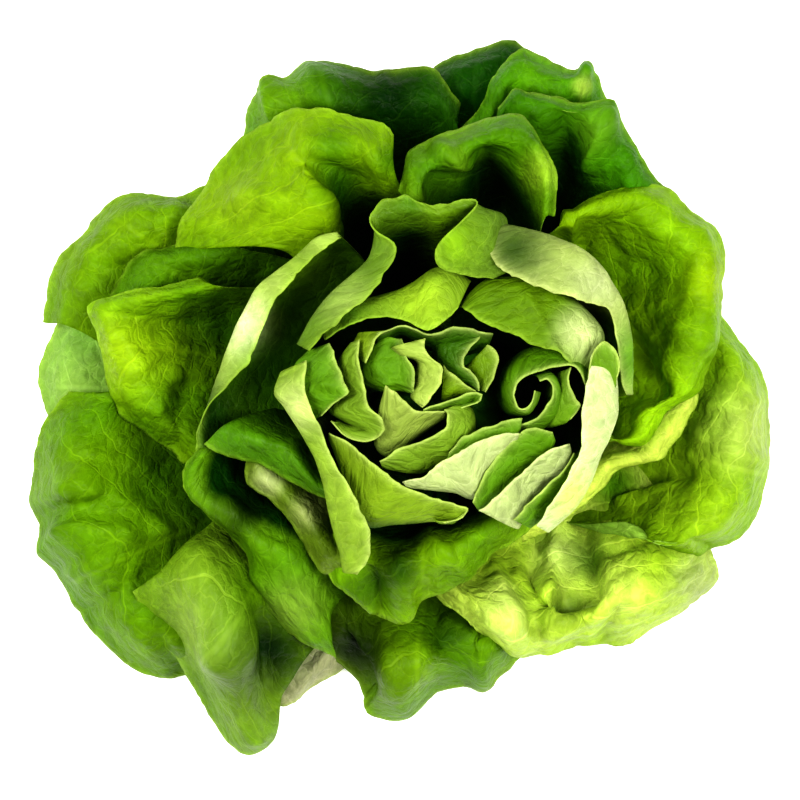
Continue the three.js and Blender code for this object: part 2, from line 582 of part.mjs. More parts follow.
function coreSolid(extra) {
  const profile = [];
  const steps = 6;
  for (let k = 0; k <= steps; k++) {
    const angle = (k / steps) * Math.PI;
    const middle = (coreFootHeight + coreTopHeight) / 2;
    const half = (coreTopHeight - coreFootHeight) / 2 + extra;
    profile.push([(coreRadius + extra) * Math.sin(angle), middle - half * Math.cos(angle)]);
  }
  profile[0][0] = 0;
  profile[steps][0] = 0;
  return turnedSolid(profile, coreSides);
}

// The biggest body of a cut or joined solid, without its scraps and sealed hollows.
function largestBody(solid) {
  return solid.decompose().reduce((best, body) => (body.volume() > best.volume() ? body : best));
}

const head = new THREE.Group();

// A solid's surface, with vertices closer than the weld length made one.
function weldedGeometry(solid) {
  const mesh = solid.getMesh();
  const geometry = new THREE.BufferGeometry();
  geometry.setAttribute("position", new THREE.BufferAttribute(new Float32Array(mesh.vertProperties), 3));
  geometry.setIndex(new THREE.BufferAttribute(new Uint32Array(mesh.triVerts), 1));
  return mergeVertices(geometry, weldLength);
}

// The biggest body once its close vertices are welded, which can pinch off slivers a few times over.
function soundGeometry(solid) {
  let geometry = weldedGeometry(largestBody(solid));
  for (let pass = 0; pass < weldPasses; pass++) {
    const welded = solidFrom(geometry.attributes.position.array, new Uint32Array(geometry.index.array));
    if (welded.decompose().length === 1) break;
    geometry = weldedGeometry(largestBody(welded));
  }
  return geometry;
}

function addNode(name, solid, material) {
  const geometry = soundGeometry(solid);
  geometry.computeVertexNormals();
  const node = new THREE.Mesh(geometry, material);
  node.name = name;
  head.add(node);
}

addNode("stem", stemSolid(0), paints.stem);

// What is already in place, swollen by the gap, which the leaves below it are cut clear of.
const inPlace = [stemSolid(gap)];

let heart = coreSolid(0);
let heartClearance = coreSolid(gap);
for (const young of heartLeaves) {
  const columns = leafColumns({ ...heartShape, ...young }, heartRootRadius);
  heart = heart.add(bladeSolid(columns, 0));
  heartClearance = heartClearance.add(bladeSolid(columns, gap));
}
addNode("heart", largestBody(heart), paints.bright);
inPlace.push(heartClearance);

// From the heart outwards, each leaf is kept clear of all that lies over it.
for (const leaf of [...outerLeaves, ...middleLeaves, ...innerLeaves].reverse()) {
  const columns = leafColumns(leaf, stemRadiusAt(leaf.root) + gap);
  let solid = bladeSolid(columns, 0);
  for (const other of inPlace) solid = solid.subtract(other);
  addNode(leaf.name, largestBody(solid), paints[leaf.paint]);
  inPlace.push(bladeSolid(columns, gap), bladeSolid(columns, 0));
}

export default head;
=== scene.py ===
import math
import bpy
import numpy as np
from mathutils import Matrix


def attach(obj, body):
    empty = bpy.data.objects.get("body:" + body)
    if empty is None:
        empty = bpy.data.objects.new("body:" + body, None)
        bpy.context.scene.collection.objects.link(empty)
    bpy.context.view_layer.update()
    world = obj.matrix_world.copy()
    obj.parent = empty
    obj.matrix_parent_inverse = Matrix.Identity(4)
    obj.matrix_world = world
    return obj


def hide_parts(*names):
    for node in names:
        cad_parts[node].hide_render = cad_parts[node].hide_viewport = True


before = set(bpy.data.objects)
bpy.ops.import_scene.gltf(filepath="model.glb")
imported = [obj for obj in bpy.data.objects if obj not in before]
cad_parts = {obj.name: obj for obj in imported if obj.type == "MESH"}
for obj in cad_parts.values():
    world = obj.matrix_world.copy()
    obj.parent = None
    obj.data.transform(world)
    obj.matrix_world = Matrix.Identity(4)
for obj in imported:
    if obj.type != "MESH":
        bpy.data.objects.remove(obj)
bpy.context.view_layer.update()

mm = 0.001

# A head of butterhead lettuce, seen from straight above. Tables are in millimetres and degrees,
# with +Z up and the origin in the middle of the stem's cut face.
# A leaf grows from the stem at "turn" round it and "root" up it. Its belly lies "out" of the way
# to the shoulder, "up" of the way up and "wide" further to each side.
# A station across a leaf is the rim's x, y, z and then its shoulder: either x, y, z,
# or the share of the way from root to rim and the shoulder's height.
# Stations run counter-clockwise as seen from above.
leaves = {
    # Outer leaves, lowest first
    "outer_left_pale": {
        "turn": 178, "root": 6, "out": 0.6, "up": 0.14, "wide": 12,
        "stations": [
            (-117, 37, 15, 0.84, 21), (-127, 32, 14, 0.86, 23), (-134, 25, 12, 0.87, 23),
            (-138.5, 16, 10, 0.87, 23), (-141.5, 7, 9, 0.87, 23), (-140, -2, 8, 0.87, 22),
            (-136, -10, 8, 0.87, 20), (-126, -20, 8, 0.86, 18), (-112, -28, 8, 0.84, 16),
        ],
    },
    "outer_bottom_rear": {
        "turn": 240, "root": 5, "out": 0.6, "up": 0.12, "wide": 8,
        "stations": [
            (-76, -80, 4, 0.84, 9), (-71, -94, 3, 0.86, 10), (-63, -104, 2.5, 0.87, 10),
            (-54, -110, 2.5, 0.88, 11), (-44, -101, 3, 0.88, 12), (-29, -93, 4, 0.86, 12),
        ],
    },
    "outer_top": {
        "turn": 84, "root": 7, "out": 0.6, "up": 0.14, "wide": 8,
        "stations": [
            (37, 106, 18, 0.86, 24), (33, 117, 20, 0.88, 27), (26, 125, 22, 0.88, 30),
            (18, 124, 23, 0.88, 31), (9, 121, 22, 0.88, 31), (1, 117.5, 21, 0.88, 30),
            (-6, 111, 20, 0.87, 28), (-14, 104, 18, 0.86, 24),
        ],
    },
    "outer_left_upper": {
        "turn": 154, "root": 9, "out": 0.6, "up": 0.15, "wide": 12,
        "stations": [
            (-76, 74, 24, 0.86, 30), (-84, 73, 24, 0.87, 31), (-90, 69.5, 24, 0.88, 33),
            (-98, 71.3, 22, 0.87, 35), (-109, 70.7, 21, 0.87, 36), (-116, 68, 20, 0.87, 36),
            (-122, 62, 19, 0.88, 35), (-126, 56.5, 19, 0.89, 34), (-134, 48, 17, 0.89, 33),
            (-137, 37, 17, 0.89, 33), (-139.5, 25.5, 18, 0.9, 32),
        ],
    },
    "outer_left_low": {
        "turn": 206, "root": 8, "out": 0.6, "up": 0.13, "wide": 12,
        "stations": [
            (-131, 1, 30, -111, 2, 34), (-138, -8, 22, -121, -6, 37.5), (-141, -16, 17, 0.87, 39),
            (-142.5, -26, 12, 0.87, 42), (-142.3, -36, 8, 0.86, 44), (-140, -48, 6, 0.86, 41),
            (-137, -59, 4.5, 0.87, 43), (-130, -72, 3, 0.87, 38), (-122, -84, 2.5, 0.87, 33),
            (-112, -94, 1.5, 0.87, 30), (-99, -99, 1, 0.87, 27), (-88, -99, 1, 0.86, 24),
            (-72, -96, 3, 0.85, 19),
        ],
    },
    "outer_bottom": {
        "turn": 268, "root": 7, "out": 0.6, "up": 0.15, "wide": 8,
        "stations": [
            (-46, -80, 14, 0.84, 26), (-40, -90, 12, 0.84, 31), (-33, -101, 8, 0.82, 26),
            (-30, -111, 4, 0.82, 24), (-25, -115, 2.5, 0.83, 28), (-17, -112.5, 3, 0.83, 36),
            (-8, -108, 4, 0.84, 38), (0, -104.5, 5, 0.84, 35), (9, -104, 4, 0.84, 30),
            (15, -106, 3, 0.84, 27), (21, -100, 4, 0.84, 30), (30, -91, 6, 0.84, 28),
            (38, -82, 8, 0.84, 24),
        ],
    },
    "outer_top_left": {
        "turn": 111, "root": 10, "out": 0.6, "up": 0.16, "wide": 10,
        "stations": [
            (7, 102, 36, 0.88, 40), (1, 111, 38, 0.88, 43), (-4, 115, 40, 0.88, 45),
            (-12, 114.5, 39, 0.88, 47), (-22, 114, 38, 0.88, 49), (-32, 116, 36, 0.88, 50),
            (-40, 117, 34, 0.88, 50), (-47, 115.5, 33, 0.88, 49), (-54, 111.5, 34, 0.88, 46),
            (-60.5, 110, 32, 0.88, 42), (-66, 102, 25, 0.87, 36), (-69, 91, 19, 0.85, 30),
            (-74, 80, 17, 0.84, 26),
        ],
    },
    "outer_top_right": {
        "turn": 70, "root": 11, "out": 0.6, "up": 0.16, "wide": 8,
        "stations": [
            (60, 95, 36, 0.88, 42), (57, 107, 40, 0.9, 45), (53.5, 116, 44, 0.92, 48),
            (47, 114.5, 42, 0.91, 49), (41, 116, 40, 0.9, 49), (36, 119, 39, 0.89, 49),
            (29.5, 121, 40, 0.89, 48), (23, 114, 40, 0.89, 46), (17, 104, 38, 0.88, 42),
            (11, 97, 35, 0.87, 38), (4, 91, 32, 0.86, 35),
        ],
    },
    "outer_right": {
        "turn": 345, "root": 9, "out": 0.6, "up": 0.14, "wide": 12,
        "stations": [
            (74, -50, 28, 0.86, 42), (82, -57, 23, 0.86, 47), (93, -59, 19, 0.86, 49),
            (104, -52, 14, 0.86, 46), (111, -45, 10, 0.86, 45), (114.5, -36, 7, 0.87, 45),
            (117, -20, 6, 0.87, 45), (116, -5, 8, 0.88, 44), (113, 8, 13, 0.9, 42),
            (105, 18.5, 20, 0.92, 40), (99, 28, 24, 0.9, 36),
        ],
    },
    "outer_right_low": {
        "turn": 305, "root": 12, "out": 0.6, "up": 0.17, "wide": 10,
        "stations": [
            (-5, -68, 31, 0.86, 37), (8, -77, 32, 0.87, 42), (18, -85, 26, 0.86, 48),
            (28, -89, 20, 0.84, 44), (38, -90.5, 15, 0.82, 38), (48, -89.5, 12, 0.82, 42),
            (58, -90, 9, 0.84, 38), (66, -88.5, 7, 0.84, 42), (75, -84, 5, 0.84, 46),
            (86, -78.5, 4, 0.84, 44), (94, -71, 4, 0.84, 38), (97.5, -64, 6, 0.84, 31),
            (96, -56, 9, 0.84, 28), (93, -44, 11, 0.84, 23),
        ],
    },
    "outer_left_tongue": {
        "turn": 230, "root": 12, "out": 0.6, "up": 0.18, "wide": 6,
        "stations": [
            (-107.5, -69, 36, -92, -57, 46), (-104, -77, 30, -88, -62, 51), (-97, -85, 24, -83, -66, 54),
            (-90, -97, 16, -77, -72, 55), (-80, -114, 8, -70, -81, 51), (-73, -121.5, 4, -64, -87, 43),
            (-67.5, -125, 1.5, -57, -92, 33), (-60, -120, 3, -49, -95, 24),
        ],
    },
    # Middle leaves
    "middle_left_under": {
        "turn": 156, "root": 14, "out": 0.6, "up": 0.17, "wide": 8,
        "stations": [
            (-79, 57, 36, 0.88, 43), (-89, 53.5, 37, 0.88, 45), (-97, 50.5, 37, 0.9, 45),
            (-103, 49.5, 37, 0.9, 45), (-108, 46, 36, 0.9, 45), (-112.5, 40, 35, 0.9, 44),
            (-116, 33, 34, 0.9, 43), (-117, 24, 33, 0.9, 42),
        ],
    },
    "middle_right_upper_rear": {
        "turn": 58, "root": 15, "out": 0.6, "up": 0.17, "wide": 8,
        "stations": [
            (84, 60, 42, 0.88, 47), (83, 69, 44, 0.9, 50), (77, 73.5, 47, 0.9, 53), (72, 79, 50, 0.9, 55),
            (68, 87, 52, 0.9, 57), (64, 93, 54, 0.9, 59), (59, 99, 56, 0.91, 61),
            (52, 101.5, 57, 0.92, 62), (45, 102.8, 57, 0.92, 62), (37, 105, 57, 0.92, 61),
            (30, 106, 56, 0.92, 60), (25, 106.5, 55, 0.92, 58), (20, 100, 53, 0.9, 56),
        ],
    },
    "middle_left": {
        "turn": 174, "root": 16, "out": 0.6, "up": 0.18, "wide": 8,
        "stations": [
            (-84, 41, 50, 0.9, 55), (-95, 38.5, 51, 0.9, 56), (-106, 36.3, 51, 0.9, 56),
            (-116, 33.5, 49, 0.9, 54), (-122, 30.5, 46, 0.91, 52), (-119, 22, 41, 0.9, 51),
            (-115.5, 13, 37, 0.89, 51), (-115.5, 6, 35, 0.88, 50), (-112, -1, 33, 0.87, 49),
            (-109, -7, 31, 0.87, 47), (-104, -12.5, 30, 0.87, 45), (-97, -17.5, 30, 0.87, 43),
            (-90, -24, 31, 0.87, 40),
        ],
    },
    "middle_right_low_band": {
        "turn": 332, "root": 17, "out": 0.6, "up": 0.2, "wide": 6,
        "stations": [
            (29, -51, 46, 0.86, 52), (38, -47, 48, 0.86, 54), (47, -41, 49, 0.87, 54),
            (56, -33, 49, 0.88, 54), (62, -26.5, 48, 0.88, 53), (70, -24, 47, 0.88, 52),
            (78, -21, 46, 0.88, 51), (84, -14, 45, 0.88, 50), (87.5, -7, 43, 0.9, 48),
            (90, -1, 40, 0.92, 45), (89, 7, 38, 0.9, 43),
        ],
    },
    "middle_upper_left": {
        "turn": 128, "root": 18, "out": 0.6, "up": 0.2, "wide": 6,
        "stations": [
            (-16.5, 90, 68, -15.5, 76, 70), (-20, 94, 70, -22, 78, 76), (-27, 96, 66, -28, 82, 71),
            (-36, 98, 62, -37, 82, 68), (-46, 99.3, 57, -43, 80, 68), (-54, 99, 53, -45, 77, 69),
            (-62, 95, 49, -45, 73, 70), (-70, 89, 45, -43, 70, 71), (-78, 80, 42, -41, 66, 71),
            (-85, 68, 40, -42, 61, 70), (-90, 60, 39, -46, 56, 67), (-93.5, 50.5, 39, -54, 50, 61),
        ],
    },
    "middle_right_upper": {
        "turn": 22, "root": 19, "out": 0.6, "up": 0.2, "wide": 8,
        "stations": [
            (57, -13, 51, 0.88, 56), (66, -17.5, 50, 0.88, 58), (74, -16, 49, 0.88, 59),
            (78.5, -7, 49, 0.88, 60), (85, -2.5, 48, 0.88, 60), (90.5, 1.5, 47, 0.88, 59),
            (92.5, 9, 47, 0.88, 60), (96, 18, 48, 0.88, 61), (98, 28, 49, 0.88, 62),
            (98.5, 39, 50, 0.88, 62), (99.5, 50, 50, 0.88, 62), (96, 58, 49, 0.88, 61),
            (88, 64, 49, 0.88, 61), (79, 71.5, 50, 0.88, 61), (70, 72, 53, 0.9, 62),
            (60, 70, 57, 0.9, 64), (51, 67, 61, 0.9, 66), (43, 62, 63, 0.9, 67),
        ],
    },
    "middle_left_low_wave": {
        "turn": 220, "root": 18, "out": 0.6, "up": 0.2, "wide": 6,
        "stations": [
            (-84, -19, 61, -78, -17, 64), (-88.5, -26, 60, -83, -24, 65), (-88, -34, 57, -83, -32, 64),
            (-82, -40, 53, -79, -37, 62), (-75, -47, 49, -73, -41, 61), (-68.5, -54, 45, -67, -44, 60),
            (-64.5, -62, 41, -62, -47, 60), (-63, -70, 37, -58, -50, 60), (-57, -78, 34, -53, -54, 59),
            (-48, -85, 32, -48, -60, 55), (-41, -90, 30, -43, -67, 48), (-36.5, -92.5, 29, -38, -76, 38),
        ],
    },
    "middle_top": {
        "turn": 80, "root": 20, "out": 0.6, "up": 0.2, "wide": 5,
        "stations": [
            (39.5, 62, 73, 35.5, 60, 77), (40.3, 71, 76, 35.5, 70, 80), (39.5, 79, 77, 34, 78, 81),
            (36, 86, 75, 30, 84, 80), (28, 96.5, 69, 23, 87, 78), (18, 95.5, 67, 15, 85, 77),
            (8, 92.5, 65, 7, 82, 76), (-2, 89.5, 64, 0, 79, 76), (-8, 85.5, 63, -4, 75, 75),
            (-12, 79, 64, -7, 70, 74), (-14.5, 71, 65, -10, 64, 71),
        ],
    },
    "middle_bottom": {
        "turn": 268, "root": 21, "out": 0.6, "up": 0.22, "wide": 5,
        "stations": [
            (-41, -55, 58, -36, -46, 64), (-38, -64, 57, -32, -51, 67), (-31, -71, 54, -27, -55, 67),
            (-24, -79, 50, -22, -58, 68), (-18, -81, 48, -17, -59, 68), (-12, -78.5, 48, -12, -58, 68),
            (-6.5, -72.5, 48, -6, -56, 68), (0, -69.8, 49, 0, -54, 68), (7, -66, 50, 5, -52, 68),
            (12, -60.5, 52, 10, -49, 68), (19, -55, 54, 15, -46, 68), (25, -52, 56, 20, -42, 67),
            (32, -46, 58, 25, -37, 65),
        ],
    },
    # Inner leaves, round the heart
    "inner_left_olive": {
        "turn": 220, "root": 24, "out": 0.62, "up": 0.25, "wide": 3,
        "stations": [
            (-67, -23, 62, -61, -20, 65), (-67.5, -30, 62, -60, -26, 67), (-61, -35.5, 61, -55, -30, 68),
            (-55, -41, 60, -51, -35, 69), (-50, -47.5, 59, -46, -40, 69), (-45.5, -54.5, 58, -42, -46, 69),
            (-41.5, -61, 57, -38, -52, 68), (-35, -63, 57, -32, -55, 66),
        ],
    },
    "inner_left": {
        "turn": 160, "root": 25, "out": 0.62, "up": 0.5, "wide": 4,
        "stations": [
            (-34.5, 54.5, 79, -35, 55.5, 77), (-40, 51, 81, -42, 54, 76), (-45, 46, 81, -50, 47, 75),
            (-51, 40, 81, -57, 42, 74), (-56, 34, 81, -63, 37, 74), (-60, 27, 81, -67, 30, 74),
            (-63, 19, 80, -71, 22, 73), (-67, 11, 78, -74, 14, 71), (-73, 4, 76, -76, 7, 70),
            (-78.5, -1, 76, -77.5, 0, 69), (-82, -6, 74, -78.5, -6, 69), (-84.5, -12, 73, -80.5, -12, 70),
            (-84.5, -19, 72, -80, -18, 70),
        ],
    },
    "inner_left_flap": {
        "turn": 204, "root": 27, "out": 0.62, "up": 0.27, "wide": 2,
        "stations": [
            (-82, -17, 73, -72, -9, 76), (-77, -20, 72, -67, -12, 79), (-69.5, -22, 71, -62, -14, 80),
            (-61, -24.5, 70, -57, -16, 81), (-54, -29, 71, -52.5, -17.5, 81), (-47, -33, 71, -48, -23, 81),
            (-41, -35.5, 72, -43, -29, 80), (-36, -37, 73, -37, -32, 78),
        ],
    },
    "inner_right_ribbon": {
        "turn": 342, "root": 28, "out": 0.66, "up": 0.3, "wide": 3,
        "stations": [
            (33, -45, 94, 37, -47, 86), (36, -40, 97, 45, -40, 88), (40, -34, 98, 49.5, -34, 89),
            (44, -27, 99, 53, -27, 90), (47, -21, 99, 55.5, -20, 91), (48.5, -15, 99, 58.5, -14, 91),
            (48, -9, 99, 61, -7, 91), (49, -2, 99, 61, -1, 91), (50, 5, 99, 60.5, 5, 91),
            (51, 11, 98, 60, 11, 90), (53, 16, 96, 58, 17, 88),
        ],
    },
    "inner_left_ribbon": {
        "turn": 204, "root": 29, "out": 0.66, "up": 0.3, "wide": 3, "over": 1.15,
        "stations": [
            (-46, 12, 94, -54, 8, 87), (-47, 5, 96, -56, 1, 88), (-45, -3, 97, -53, -4, 89),
            (-42, -10, 97, -48.5, -11, 90), (-39, -18, 97, -44.5, -18, 90),
            (-35.5, -25, 97, -41.5, -24, 90), (-31, -33, 96, -39.5, -31, 89), (-28, -39, 95, -38, -38, 88),
            (-25, -44, 94, -36.5, -44, 87), (-24, -50, 93, -35, -50, 86), (-25, -57, 91, -33.5, -55, 85),
            (-29, -62, 88, -33, -60, 83),
        ],
    },
    "inner_right_cap": {
        "turn": 40, "root": 31, "out": 0.66, "up": 0.3, "wide": 3,
        "stations": [
            (64, 0, 89, 65.2, 0, 84), (62.5, 4, 92, 65.4, 4, 86), (62, 11, 95, 66, 11, 88),
            (61, 18, 96, 66, 18, 89), (60, 25, 97, 64.5, 26, 90), (57, 30, 98, 63, 32, 91),
            (50, 31.5, 100, 60, 38, 93), (44, 33.5, 101, 55, 45.5, 94), (37, 36, 101, 48, 51, 94),
            (30, 39, 101, 40, 54, 94), (23, 42, 100, 32, 56.5, 93), (18, 47, 98, 24, 58.5, 91),
            (15, 54, 94, 17, 58, 88),
        ],
    },
    "inner_top": {
        "turn": 112, "root": 33, "out": 0.66, "up": 0.3, "wide": 3, "over": 1.2,
        "stations": [
            (18, 40, 96, 24, 42, 90), (8, 41, 99, 21, 49, 92), (-1, 44, 100, 18.5, 56, 93),
            (-1, 52, 99, 17, 61, 92), (12.5, 65.5, 97, 13.5, 63.5, 90), (5.5, 67, 95, 5.5, 62, 91),
            (-0.5, 65, 95, -0.5, 60.5, 92), (-7, 67, 95, -6, 61.5, 92), (-14, 68.5, 95, -12, 62, 92),
            (-22, 66, 95, -18, 60.5, 92), (-24.5, 60, 96, -21, 57.5, 91), (-22, 55.5, 99, -22.5, 54, 91),
            (-16, 51, 99, -22.5, 50, 92), (-18, 44, 99, -24.5, 45.5, 93), (-25, 34, 100, -30, 40, 94),
            (-32, 28, 100, -37, 33.5, 94), (-40, 21, 99, -43.5, 25.5, 93), (-45, 15, 96, -48.5, 17, 90),
        ],
    },
    "inner_right_fold": {
        "turn": 45, "root": 35, "out": 0.7, "up": 0.34, "wide": 2, "over": 1.4,
        "stations": [
            (49, 8, 94, 54, 10, 89), (44, 12, 98, 53, 18.5, 91), (38, 15, 99, 48, 24, 92),
            (32, 17, 99, 42, 28, 93), (26, 20, 99, 35, 31.5, 93), (20, 22, 99, 29, 34, 93),
            (14, 25, 99, 22, 36, 92), (9, 29, 98, 14, 36.5, 91), (6, 30, 92, 8, 33, 88),
        ],
    },
    "inner_top_fold": {
        "turn": 112, "root": 36, "out": 0.7, "up": 0.34, "wide": 2, "over": 1.5,
        "stations": [
            (6, 30, 97, 9, 36, 90), (1, 25, 99, 3, 37.5, 92), (-4, 22.5, 100, -3, 36.5, 93),
            (-10, 25, 99, -10, 34, 92), (-17, 26.5, 97, -18, 32, 91), (-24, 26.5, 96, -26, 31, 90),
            (-32, 24, 95, -34, 28, 89), (-40, 19, 92, -41, 22, 87),
        ],
    },
}

